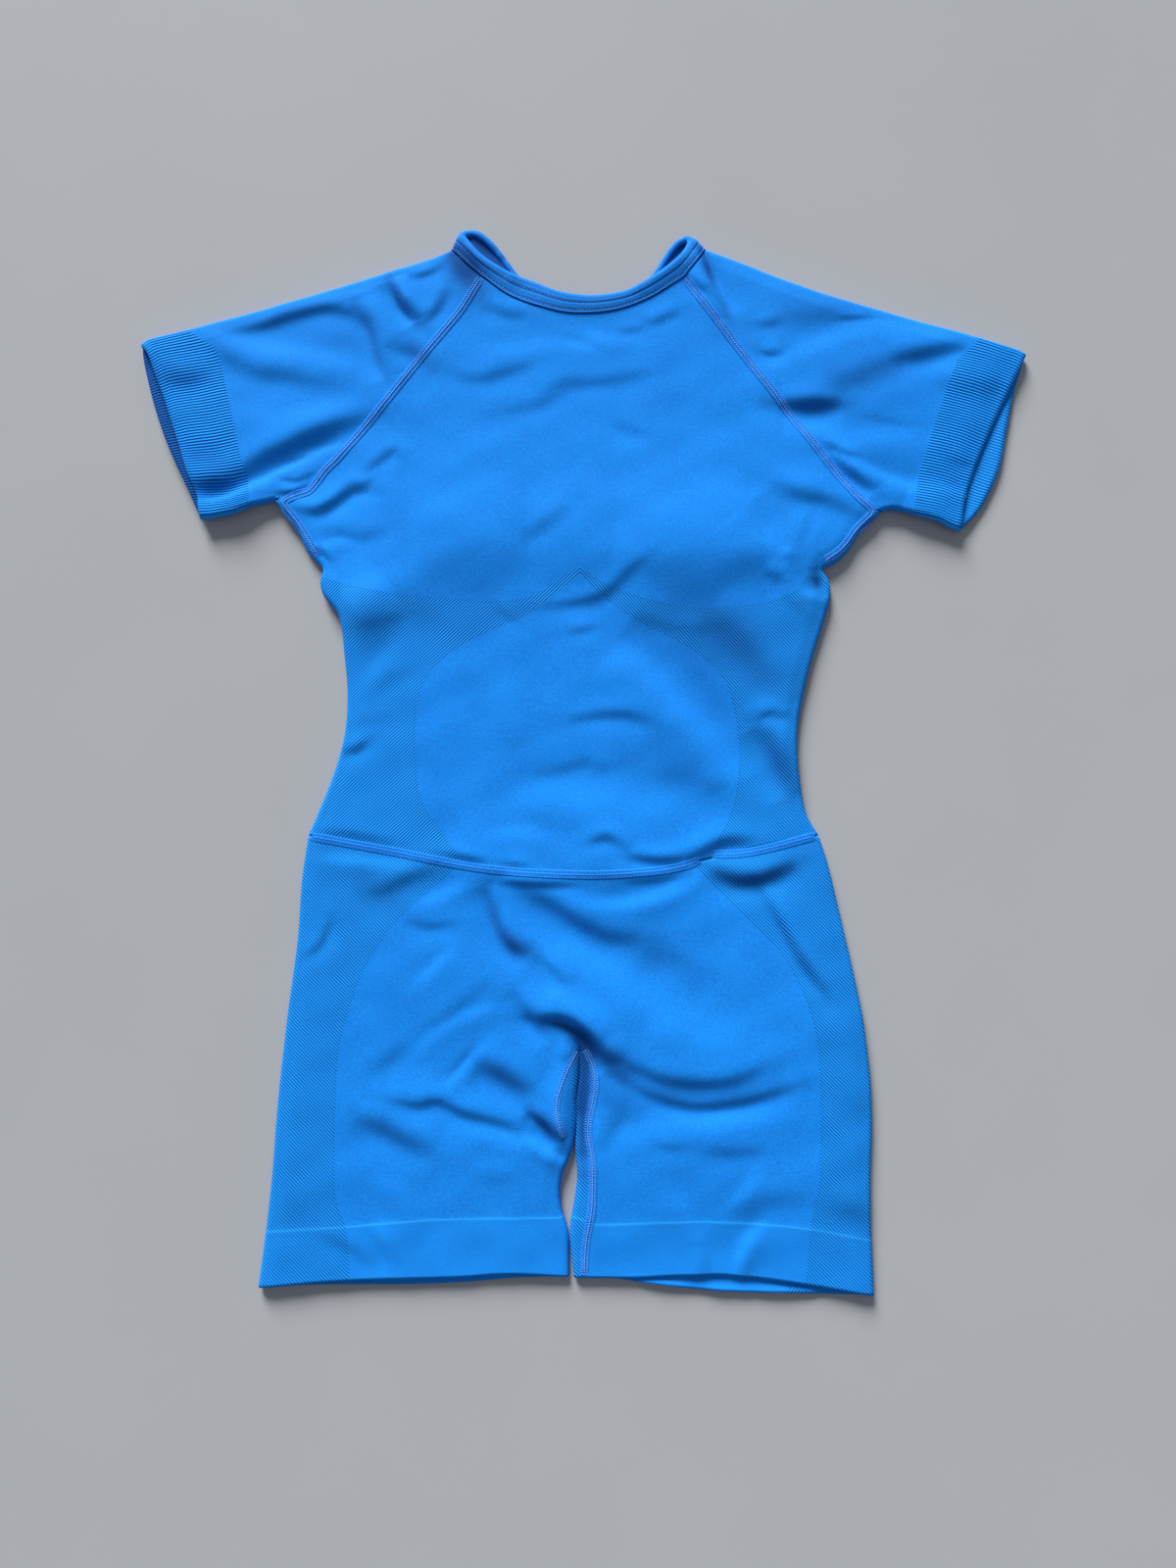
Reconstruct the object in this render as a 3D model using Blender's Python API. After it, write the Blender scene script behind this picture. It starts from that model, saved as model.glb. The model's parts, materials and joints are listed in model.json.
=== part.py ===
"""Short-sleeved seamless-knit yoga bodysuit with shorts legs, laid out flat on its back.

+X is to the right of the laid-out garment, +Y towards its neck, +Z up. The back layer lies on z = 0 and the
front layer lies on it. Every table is in millimetres. Each piece is a knitted wall round a surface that is
worked out here: its plan comes from the outline tables, its height from the layers, the folded edges and the
creases. Run it with blender --background --python part.py.
"""

from collections import namedtuple

import bpy
import numpy as np

MM = 0.001
TO_CENTRE = (0.1, 0.515, 0.0)
OBJECT_NAME = "yoga_bodysuit"

# Walls and layers
WALL = 1.2
BINDING_WALL = 1.8
LAYER_GAP = 0.9
SEAM_GAP = 0.32
CORNER_GAP = 0.7
FOLD_DEPTH = 2.4
LOFT = 0.9
LOFT_REACH = 14.0
EDGE_LOFT = 0.25
PUFF_ROUNDING = 0.4
REST_DEPTH = 0.05
BINDING_RISE = 0.45
BINDING_SWELL = 0.25
CREASE_FADE = 0.06
SMALL_STEPS = (0.5, 1.5, 3.0)

# Knitted cuff
CUFF_LENGTH = 28.0
RIB_PITCH = 1.5
RIB_HEIGHT = 0.3

# Grid sizes: how many steps each stretch is divided into
SIDE_STEPS = 9
RAGLAN_STEPS = 11
TIP_STEPS = 2
NECK_STEPS = 18
BACK_RAGLAN_STEPS = 6
BACK_NECK_STEPS = 10
SLEEVE_STEPS = 7
HIP_STEPS = 7
LEG_STEPS = 8
LEG_COLUMNS = 10
BACK_LEG_COLUMNS = 6

Spot = namedtuple("Spot", "x y")
Fold = namedtuple("Fold", "path height width")
Piece = namedtuple("Piece", "name colour roughness")

# Side folds, from the waist seam up to the underarm
SIDE_LEFT = (
    Spot(-155.0, -54.4), Spot(-149.7, -41.6), Spot(-141.3, -19.3), Spot(-135.5, 3.2), Spot(-134.3, 25.8),
    Spot(-136.4, 48.6), Spot(-139.6, 71.0), Spot(-149.0, 84.2), Spot(-151.2, 92.2), Spot(-149.9, 99.6),
    Spot(-158.8, 109.8), Spot(-165.4, 122.6), Spot(-174.2, 134.2), Spot(-178.6, 140.0),
)
SIDE_RIGHT = (
    Spot(132.5, -54.4), Spot(125.5, -41.6), Spot(121.9, -19.3), Spot(121.2, 3.2), Spot(124.9, 25.8),
    Spot(130.9, 48.6), Spot(138.4, 71.5), Spot(141.7, 84.0), Spot(140.9, 92.2), Spot(137.9, 99.2),
    Spot(145.2, 103.4), Spot(152.2, 110.0), Spot(160.4, 122.6), Spot(167.4, 128.6), Spot(172.0, 133.6),
)
# Front raglan seams, from the underarm up to the neck binding
RAGLAN_LEFT = (
    Spot(-178.6, 140.0), Spot(-170.5, 142.6), Spot(-159.0, 145.2), Spot(-149.2, 157.9), Spot(-117.8, 195.0),
    Spot(-95.3, 225.4), Spot(-72.5, 254.5), Spot(-60.0, 274.6),
)
RAGLAN_RIGHT = (
    Spot(172.0, 133.6), Spot(165.0, 135.6), Spot(157.5, 143.0), Spot(144.2, 158.5), Spot(117.3, 193.9),
    Spot(91.9, 228.3), Spot(71.9, 255.5), Spot(59.4, 274.4),
)
BACK_RAGLAN_LEFT = (Spot(-178.6, 140.0), Spot(-152.0, 164.0), Spot(-106.0, 222.0), Spot(-61.0, 280.6))
BACK_RAGLAN_RIGHT = (Spot(172.0, 133.6), Spot(148.0, 162.0), Spot(102.0, 222.0), Spot(57.2, 279.0))
# Neck seams between the raglan seams, and from a raglan seam to the shoulder tip
NECK_FRONT = (
    Spot(-60.0, 274.6), Spot(-42.5, 261.9), Spot(-17.0, 253.3), Spot(2.0, 251.8), Spot(21.1, 254.2),
    Spot(40.0, 261.9), Spot(59.4, 274.4),
)
NECK_BACK = (
    Spot(-61.0, 280.6), Spot(-47.2, 268.8), Spot(-27.0, 250.5), Spot(-1.0, 241.0), Spot(25.7, 250.5),
    Spot(44.0, 266.0), Spot(57.2, 279.0),
)
TIP_LEFT = Spot(-77.6, 290.8)
TIP_RIGHT = Spot(71.6, 291.6)
TIP_FRONT_LEFT = (Spot(-60.0, 274.6), Spot(-68.5, 281.6), TIP_LEFT)
TIP_FRONT_RIGHT = (Spot(59.4, 274.4), Spot(66.0, 282.4), TIP_RIGHT)
TIP_BACK_LEFT = (Spot(-61.0, 280.6), Spot(-69.5, 286.2), TIP_LEFT)
TIP_BACK_RIGHT = (Spot(57.2, 279.0), Spot(64.8, 285.6), TIP_RIGHT)
# Free edges of the neck binding, from the left shoulder tip to the right one
BINDING_FRONT = (
    Spot(-71.8, 304.2), Spot(-67.6, 296.6), Spot(-62.0, 289.2), Spot(-54.8, 283.0), Spot(-42.6, 276.0),
    Spot(-29.2, 270.8), Spot(-14.8, 265.2), Spot(3.5, 262.6), Spot(22.3, 264.8), Spot(34.4, 270.8),
    Spot(46.0, 279.0), Spot(56.6, 288.6), Spot(62.8, 300.6),
)
BINDING_BACK = (
    Spot(-71.8, 304.2), Spot(-66.5, 304.9), Spot(-61.4, 302.6), Spot(-55.5, 297.8), Spot(-49.7, 291.7),
    Spot(-43.8, 283.9), Spot(-38.0, 275.9), Spot(-22.0, 259.5), Spot(-0.5, 251.5), Spot(22.0, 259.5),
    Spot(39.7, 275.9), Spot(43.2, 282.1), Spot(48.6, 292.4), Spot(54.6, 299.4), Spot(62.8, 300.6),
)
# Sleeves, from the cuff: lower fold, shoulder fold, and the cuff's edge from the lower to the upper fold
LOWER_LEFT = (
    Spot(-220.6, 128.4), Spot(-213.3, 129.4), Spot(-202.0, 131.8), Spot(-190.7, 136.8), Spot(-178.6, 140.0),
)
LOWER_RIGHT = (
    Spot(217.2, 122.0), Spot(211.6, 123.6), Spot(205.0, 127.2), Spot(190.1, 131.7), Spot(180.0, 134.6),
    Spot(172.0, 133.6),
)
SHOULDER_LEFT = (
    Spot(-259.4, 232.8), Spot(-255.6, 236.2), Spot(-228.2, 243.4), Spot(-199.6, 251.2), Spot(-170.9, 259.6),
    Spot(-142.1, 268.6), Spot(-113.3, 278.2), Spot(-90.2, 285.6), TIP_LEFT,
)
SHOULDER_RIGHT = (
    Spot(259.2, 227.4), Spot(255.6, 230.0), Spot(233.0, 237.2), Spot(204.4, 245.1), Spot(175.7, 253.9),
    Spot(147.0, 262.5), Spot(118.2, 272.8), Spot(92.0, 283.6), TIP_RIGHT,
)
CUFF_FRONT_LEFT = (
    Spot(-220.6, 128.4), Spot(-223.6, 142.0), Spot(-231.6, 163.0), Spot(-241.2, 191.5), Spot(-249.4, 214.0),
    Spot(-254.6, 227.0), Spot(-259.4, 232.8),
)
CUFF_BACK_LEFT = (
    Spot(-220.6, 128.4), Spot(-224.0, 134.6), Spot(-229.8, 147.4), Spot(-240.6, 170.4), Spot(-249.6, 194.5),
    Spot(-256.4, 218.0), Spot(-259.4, 232.8),
)
CUFF_FRONT_RIGHT = (
    Spot(217.2, 122.0), Spot(220.1, 138.0), Spot(227.5, 159.7), Spot(238.0, 183.8), Spot(246.8, 202.0),
    Spot(254.5, 217.6), Spot(259.2, 227.4),
)
CUFF_BACK_RIGHT = (
    Spot(217.2, 122.0), Spot(225.2, 129.4), Spot(232.0, 138.2), Spot(241.6, 158.8), Spot(246.6, 181.6),
    Spot(252.2, 206.0), Spot(259.2, 227.4),
)
# Waist seam, from the left to the right side fold
WAIST_FRONT = (
    Spot(-155.0, -54.4), Spot(-108.3, -63.2), Spot(-54.4, -73.2), Spot(2.6, -76.6), Spot(40.0, -74.0),
    Spot(66.0, -68.8), Spot(94.1, -61.8), Spot(132.5, -54.4),
)
WAIST_BACK = (
    Spot(-155.0, -54.4), Spot(-70.0, -64.0), Spot(-8.0, -67.0), Spot(60.0, -63.0), Spot(132.5, -54.4),
)
# Shorts: side folds from the waist to the hem, centre line from the waist to the crotch, inner leg folds
HIP_LEFT = (Spot(-155.0, -54.4), Spot(-158.2, -80.4), Spot(-159.9, -113.4), Spot(-164.7, -155.0))
THIGH_LEFT = (
    Spot(-164.7, -155.0), Spot(-168.7, -199.8), Spot(-171.2, -242.3), Spot(-174.2, -275.0),
    Spot(-177.2, -301.4),
)
HIP_RIGHT = (
    Spot(132.5, -54.4), Spot(137.1, -69.4), Spot(143.3, -96.9), Spot(150.4, -129.7), Spot(155.4, -155.0),
)
THIGH_RIGHT = (
    Spot(155.4, -155.0), Spot(158.6, -185.0), Spot(159.3, -210.0), Spot(157.9, -242.3), Spot(157.6, -270.0),
    Spot(158.4, -305.8),
)
CENTRE = (Spot(2.6, -76.6), Spot(0.9, -113.4), Spot(-1.2, -146.0), Spot(-2.2, -174.0))
CENTRE_BACK = (Spot(-8.0, -67.0), Spot(-4.0, -113.4), Spot(-2.4, -146.0), Spot(-2.2, -174.0))
INNER_LEFT = (
    Spot(-2.2, -174.0), Spot(-3.9, -188.0), Spot(-5.9, -200.0), Spot(-5.6, -212.0), Spot(-7.0, -227.5),
    Spot(-12.0, -240.4), Spot(-13.4, -250.0), Spot(-12.5, -259.5), Spot(-8.9, -272.0), Spot(-8.6, -284.0),
    Spot(-8.4, -295.8),
)
INNER_RIGHT = (
    Spot(-2.2, -174.0), Spot(-2.0, -188.0), Spot(-3.8, -200.0), Spot(-3.6, -212.0), Spot(-3.9, -227.5),
    Spot(-2.8, -240.4), Spot(-3.9, -252.0), Spot(-6.2, -265.5), Spot(-6.6, -276.0), Spot(-5.6, -286.0),
    Spot(-4.4, -296.2),
)
HEM_FRONT_LEFT = (
    Spot(-177.2, -301.4), Spot(-131.8, -297.9), Spot(-67.3, -295.8), Spot(-40.4, -294.2), Spot(-8.4, -295.8),
)
HEM_BACK_LEFT = (
    Spot(-177.2, -301.4), Spot(-137.0, -300.2), Spot(-94.0, -300.0), Spot(-60.0, -298.6), Spot(-40.0, -296.8),
    Spot(-8.4, -295.8),
)
HEM_FRONT_RIGHT = (
    Spot(-4.4, -296.2), Spot(28.9, -296.3), Spot(74.1, -294.8), Spot(110.1, -298.4), Spot(158.4, -305.8),
)
HEM_BACK_RIGHT = (
    Spot(-4.4, -296.2), Spot(18.7, -297.2), Spot(40.2, -300.2), Spot(77.8, -303.7), Spot(120.0, -304.8),
    Spot(158.4, -305.8),
)

# Largest creases of the front layer: ridges are positive, troughs negative
FRONT_FOLDS = (
    Fold(((-168, 132), (-151, 133), (-136, 143)), -2.6, 8),
    Fold(((-153, 112), (-126, 122), (-108, 143)), 2.8, 11),
    Fold(((-140, 104), (-118, 96), (-92, 104)), 1.8, 12),
    Fold(((125, 76), (131, 100), (143, 118)), 3.2, 8),
    Fold(((116, 96), (106, 118), (112, 140)), 2.4, 12),
    Fold(((-72, 214), (-32, 219), (34, 216)), 1.2, 16),
    Fold(((-50, 150), (0, 140), (52, 146)), 2.6, 26),
    Fold(((-40, 60), (10, 72), (50, 96)), 1.8, 14),
    Fold(((-52, -8), (-8, -14), (36, -8)), 2.2, 14),
    Fold(((-62, -46), (0, -54), (46, -56)), 2.0, 9),
    Fold(((66, -58), (92, -52), (118, -48)), 2.0, 7),
    Fold(((70, -76), (92, -84), (118, -76)), -1.6, 7),
    Fold(((-44, -82), (-14, -98), (28, -112)), -2.0, 9),
    Fold(((-30, -76), (6, -90), (48, -98)), 2.6, 11),
    Fold(((-110, -96), (-92, -128), (-96, -170)), 1.8, 18),
    Fold(((76, -104), (96, -140), (96, -190)), 2.2, 18),
    Fold(((-24, -152), (10, -176), (56, -200)), -2.2, 9),
    Fold(((-30, -136), (16, -158), (72, -176)), 3.0, 12),
    Fold(((20, -210), (60, -204), (106, -198)), 2.2, 12),
    Fold(((-112, -196), (-66, -204), (-16, -220)), 2.6, 12),
    Fold(((-110, -206), (-60, -218), (-22, -230)), -1.6, 8),
    Fold(((-118, -262), (-84, -258), (-40, -262)), 1.4, 16),
    Fold(((30, -258), (70, -256), (112, -262)), 1.4, 16),
    Fold(((-200, 166), (-160, 184), (-126, 196)), -2.0, 10),
    Fold(((-196, 156), (-166, 166), (-138, 172)), 3.2, 11),
    Fold(((-214, 222), (-176, 212), (-134, 218)), 2.6, 14),
    Fold(((-120, 244), (-100, 262), (-92, 276)), 1.4, 11),
    Fold(((120, 204), (150, 202), (172, 214)), -1.8, 10),
    Fold(((128, 188), (166, 162), (196, 152)), 3.4, 12),
    Fold(((104, 256), (146, 250), (186, 240)), 2.0, 12),
    Fold(((182, 228), (204, 212), (212, 190)), 1.6, 14),
    Fold(((-74, 292), (-40, 262), (0, 256), (40, 263), (68, 290)), 0.9, 12),
    Fold(((226, 136), (238, 160), (248, 190)), 2.6, 12),
)
# Places where both layers stand off the surface under them
LIFTS = (
    Fold(((-222, 126), (-202, 131), (-186, 137)), 3.6, 11),
    Fold(((220, 121), (200, 129), (184, 134)), 3.6, 11),
)
PIECES = (
    Piece("bodice", (0.013, 0.209, 0.745), 0.78),
    Piece("sleeve_left", (0.013, 0.209, 0.745), 0.78),
    Piece("sleeve_right", (0.013, 0.209, 0.745), 0.78),
    Piece("shorts", (0.013, 0.209, 0.745), 0.78),
    Piece("neck_binding", (0.016, 0.202, 0.70), 0.74),
)


def smooth_path(spots, samples=16):
    """Rounded curve through the spots, as many close points."""
    rows = np.array(spots, float)
    before = 2 * rows[0] - rows[1]
    after = 2 * rows[-1] - rows[-2]
    ends = np.vstack([before, rows, after])
    pieces = []
    t = np.linspace(0, 1, samples, endpoint=False)[:, None]
    for a, b, c, d in zip(ends, ends[1:], ends[2:], ends[3:]):
        limit = np.linalg.norm(c - b)
        start = (c - a) * 0.5
        end = (d - b) * 0.5
        start *= min(1.0, limit / max(np.linalg.norm(start), 1e-9))
        end *= min(1.0, limit / max(np.linalg.norm(end), 1e-9))
        pieces.append(
            b * (2 * t**3 - 3 * t**2 + 1) + start * (t**3 - 2 * t**2 + t)
            + c * (3 * t**2 - 2 * t**3) + end * (t**3 - t**2)
        )
    return np.vstack(pieces + [rows[-1:]])


def run_of(path):
    """Distance along the path at each of its points, by its first two columns."""
    steps = np.linalg.norm(np.diff(path[:, :2], axis=0), axis=1)
    return np.concatenate([[0.0], np.cumsum(steps)])


def at_distances(path, distances):
    run = run_of(path)
    return np.stack([np.interp(distances, run, path[:, k]) for k in range(path.shape[1])], axis=1)


def divided(path, steps, small_start=False, small_end=False):
    """Points that divide the path evenly, with small steps next to a folded end."""
    length = run_of(path)[-1]
    first = SMALL_STEPS[-1] if small_start else 0.0
    last = length - (SMALL_STEPS[-1] if small_end else 0.0)
    distances = list(np.linspace(first, last, steps + 1))
    if small_start:
        distances = [0.0, *SMALL_STEPS[:-1], *distances]
    if small_end:
        distances += [length - step for step in reversed(SMALL_STEPS[:-1])] + [length]
    return at_distances(path, distances)


def moved_aside(path, distance):
    """The path moved to its left by the distance; a negative distance moves it to its right."""
    forward = np.gradient(path, axis=0)
    forward /= np.linalg.norm(forward, axis=1)[:, None]
    aside = np.stack([-forward[:, 1], forward[:, 0]], axis=1)
    return path + aside * distance


def nearest(points, path):
    """Distance from each point to the path, and how far along the path that is, from 0 to 1."""
    path = np.asarray(path, float)
    best = np.full(len(points), 1e9)
    along = np.zeros(len(points))
    run = run_of(path)
    for k, (a, b) in enumerate(zip(path, path[1:])):
        edge = b - a
        t = np.clip(((points - a) @ edge) / max(edge @ edge, 1e-9), 0, 1)
        distance = np.linalg.norm(points - a - t[:, None] * edge, axis=1)
        closer = distance < best
        best[closer] = distance[closer]
        along[closer] = ((run[k] + t * np.sqrt(edge @ edge)) / run[-1])[closer]
    return best, along


def fold_height(points, fold):
    """Height that one crease adds: a rounded section that fades towards both ends."""
    path = smooth_path(fold.path, 5)
    distance, along = nearest(points, path)
    fade = np.sin(np.pi * np.clip(along, CREASE_FADE, 1 - CREASE_FADE))
    return fold.height * fade * np.exp(-((distance / fold.width) ** 2))


def folded_edges():
    """Paths along which the front layer turns over into the back layer."""
    rows = (
        SIDE_LEFT, SIDE_RIGHT, LOWER_LEFT, LOWER_RIGHT, SHOULDER_LEFT, SHOULDER_RIGHT, HIP_LEFT, THIGH_LEFT,
        HIP_RIGHT, THIGH_RIGHT, INNER_LEFT, INNER_RIGHT,
        (TIP_LEFT, BINDING_FRONT[0]), (TIP_RIGHT, BINDING_FRONT[-1]),
    )
    return [smooth_path(spots, 8) for spots in rows]


FOLDED_EDGES = folded_edges()


def heights(points):
    """Middle height of the back and of the front layer at each plan point."""
    edge = np.min([nearest(points, path)[0] for path in FOLDED_EDGES], axis=0)
    inside = np.clip(edge / LOFT_REACH, 0, 1)
    inside = inside * inside * (3 - 2 * inside)
    lift = sum(fold_height(points, fold) for fold in LIFTS)
    puff = LOFT + sum(fold_height(points, fold) for fold in FRONT_FOLDS)
    puff = 0.5 * (puff + np.sqrt(puff**2 + PUFF_ROUNDING)) * (EDGE_LOFT + (1 - EDGE_LOFT) * inside)
    back = WALL / 2 + np.maximum(lift - REST_DEPTH, 0)
    front = back + WALL + LAYER_GAP + puff
    turn = np.clip(edge / FOLD_DEPTH, 0, 1)
    round_over = np.sqrt(np.clip(1 - (1 - turn) ** 2, 0, 1))
    middle = (front + back) / 2
    half = (front - back) / 2
    return middle - half * round_over, middle + half * round_over


def patch(left, right, bottom, top):
    """Grid of plan points between four edges that are given at the grid's own stations."""
    run_left = run_of(left) / run_of(left)[-1]
    run_right = run_of(right) / run_of(right)[-1]
    v = ((run_left + run_right) / 2)[:, None, None]
    across_bottom = (run_of(bottom) / run_of(bottom)[-1])[None, :, None]
    across_top = (run_of(top) / run_of(top)[-1])[None, :, None]
    u = (1 - v) * across_bottom + v * across_top
    sides = (1 - u) * left[:, None] + u * right[:, None]
    ends = (1 - v) * bottom[None] + v * top[None]
    chords = (1 - v) * ((1 - across_bottom) * bottom[0] + across_bottom * bottom[-1])
    chords = chords + v * ((1 - across_top) * top[0] + across_top * top[-1])
    return sides + ends - chords


def joined_ends(*edges):
    """Makes each edge start where the one before it ends, halfway between the two."""
    for first, second in zip(edges, edges[1:]):
        middle = (first[-1] + second[0]) / 2
        first[-1] = middle
        second[0] = middle


def surface(grid, front, extra=0.0):
    """Adds the layer's height to a grid of plan points."""
    points = grid.reshape(-1, 2)
    back_z, front_z = heights(points)
    z = front_z if front else back_z
    return np.concatenate([grid, (z + extra).reshape(grid.shape[:2] + (1,))], axis=2)


def grid_faces(shape, start, turned):
    """Corner numbers of a grid's quads, with the first point numbered start."""
    rows, columns = shape
    index = start + np.arange(rows * columns).reshape(rows, columns)
    quads = np.stack([index[:-1, :-1], index[:-1, 1:], index[1:, 1:], index[1:, :-1]], axis=-1).reshape(-1, 4)
    return quads[:, ::-1] if turned else quads


def merged(points, faces):
    """Makes points that coincide one, and drops the faces' repeated corners."""
    _, first, index = np.unique(np.round(points, 2), axis=0, return_index=True, return_inverse=True)
    index = index.reshape(-1)
    kept = []
    for face in faces:
        corners = []
        for corner in index[face]:
            if corner not in corners:
                corners.append(int(corner))
        if len(corners) > 2:
            kept.append(corners)
    return points[first], kept


def point_normals(points, faces):
    normals = np.zeros_like(points)
    for face in faces:
        ring = points[face]
        normal = np.zeros(3)
        for k in range(1, len(face) - 1):
            normal += np.cross(ring[k] - ring[0], ring[k + 1] - ring[0])
        length = np.linalg.norm(normal)
        if length > 0:
            normals[face] += normal / length**0.5
    return normals / np.linalg.norm(normals, axis=1)[:, None]


def walled(points, faces, thickness):
    """Outer and inner wall round the surface, with a rim along each open edge."""
    normals = point_normals(points, faces)
    count = len(points)
    both = np.vstack([points + normals * thickness / 2, points - normals * thickness / 2])
    shell = [list(face) for face in faces] + [[corner + count for corner in reversed(face)] for face in faces]
    edges = {(a, b) for face in faces for a, b in zip(face, face[1:] + face[:1])}
    shell += [[b, a, a + count, b + count] for a, b in edges if (b, a) not in edges]
    return both, shell


def piece_object(name, points, faces, collection):
    """Mesh object of the piece in metres, with its own material."""
    piece = next(entry for entry in PIECES if entry.name == name)
    mesh = bpy.data.meshes.new(name)
    mesh.from_pydata(((points + np.array(TO_CENTRE)) * MM).tolist(), [], [list(face) for face in faces])
    mesh.update()
    material = bpy.data.materials.new(name + "_knit")
    material.use_nodes = True
    shader = material.node_tree.nodes["Principled BSDF"]
    shader.inputs["Base Color"].default_value = (*piece.colour, 1.0)
    shader.inputs["Roughness"].default_value = piece.roughness
    shader.inputs["Metallic"].default_value = 0.0
    mesh.materials.append(material)
    made = bpy.data.objects.new(name, mesh)
    collection.objects.link(made)
    return made


def seam_edge(spots, steps, aside, small_start=False, small_end=False):
    """Stations along a seam, moved off the seam line towards the piece."""
    path = smooth_path(spots)
    shift = np.hstack([path, moved_aside(path, aside)])
    return divided(shift, steps, small_start, small_end)[:, 2:]


def share_points(front, back, rows, column):
    """Gives the two layers one point on each of these rows of a folded edge, midway between them."""
    middle = (front[rows, column] + back[rows, column]) / 2
    front[rows, column] = middle
    back[rows, column] = middle


def stacked(sheets):
    """Points and quads of several grids, each with whether its quads are turned round, made one sheet."""
    points = []
    faces = []
    for sheet, turned in sheets:
        faces += grid_faces(sheet.shape[:2], sum(map(len, points)), turned).tolist()
        points.append(sheet.reshape(-1, 3))
    return merged(np.vstack(points), faces)


def bodice_sheet():
    """Body tube: front and back grid, joined along the side folds."""
    half = SEAM_GAP / 2
    layers = []
    sides = [divided(smooth_path(spots), SIDE_STEPS) for spots in (SIDE_LEFT, SIDE_RIGHT)]
    for side in sides:
        back_along = side[-2] - side[-1]
        side[-1] += back_along / np.linalg.norm(back_along) * CORNER_GAP
    for front in (True, False):
        seams = (RAGLAN_LEFT, RAGLAN_RIGHT) if front else (BACK_RAGLAN_LEFT, BACK_RAGLAN_RIGHT)
        steps = RAGLAN_STEPS if front else BACK_RAGLAN_STEPS
        columns = NECK_STEPS if front else BACK_NECK_STEPS
        raglan_left = seam_edge(seams[0], steps, -half, small_start=True)[3:]
        raglan_right = seam_edge(seams[1], steps, half, small_start=True)[3:]
        top = seam_edge(NECK_FRONT if front else NECK_BACK, columns, -half, True, True)
        bottom = seam_edge(WAIST_FRONT if front else WAIST_BACK, columns, half, True, True)
        left = np.vstack([sides[0], raglan_left])
        right = np.vstack([sides[1], raglan_right])
        left[0], right[0] = bottom[0], bottom[-1]
        joined_ends(left, top, right[::-1])
        layers.append(surface(patch(left, right, bottom, top), front))
    for column in (0, -1):
        share_points(*layers, slice(0, SIDE_STEPS + 1), column)
    return stacked(zip(layers, (False, True)))


def shorts_sheet():
    """Lower body tube with two legs: four grids, joined along the side, centre and inner leg folds."""
    half = SEAM_GAP / 2
    sheets = []
    for left_leg in (True, False):
        hip, thigh = (HIP_LEFT, THIGH_LEFT) if left_leg else (HIP_RIGHT, THIGH_RIGHT)
        outer = np.vstack([
            divided(smooth_path(hip), HIP_STEPS), divided(smooth_path(thigh), LEG_STEPS)[1:],
        ])
        inner_fold = divided(smooth_path(INNER_LEFT if left_leg else INNER_RIGHT), LEG_STEPS)[1:]
        layers = []
        for front in (True, False):
            columns = LEG_COLUMNS if front else BACK_LEG_COLUMNS
            centre = divided(smooth_path(CENTRE if front else CENTRE_BACK), HIP_STEPS)
            inner = np.vstack([centre, inner_fold])
            waist = smooth_path(WAIST_FRONT if front else WAIST_BACK, 48)
            waist = moved_aside(waist, -half)
            split = int(np.argmin(np.linalg.norm(waist - centre[0], axis=1)))
            waist = waist[: split + 1] if left_leg else waist[split:]
            hem = {
                (True, True): HEM_FRONT_LEFT, (True, False): HEM_BACK_LEFT,
                (False, True): HEM_FRONT_RIGHT, (False, False): HEM_BACK_RIGHT,
            }[left_leg, front]
            top = divided(waist, columns, True, True)
            bottom = divided(smooth_path(hem), columns, True, True)
            left, right = (outer, inner) if left_leg else (inner, outer)
            left, right = left[::-1].copy(), right[::-1].copy()
            left[-1], right[-1] = top[0], top[-1]
            layers.append(surface(patch(left, right, bottom, top), front))
        outer_column, inner_column = (0, -1) if left_leg else (-1, 0)
        share_points(*layers, slice(None), outer_column)
        share_points(*layers, slice(0, LEG_STEPS + 1), inner_column)
        sheets += zip(layers, (False, True))
    return stacked(sheets)


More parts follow.
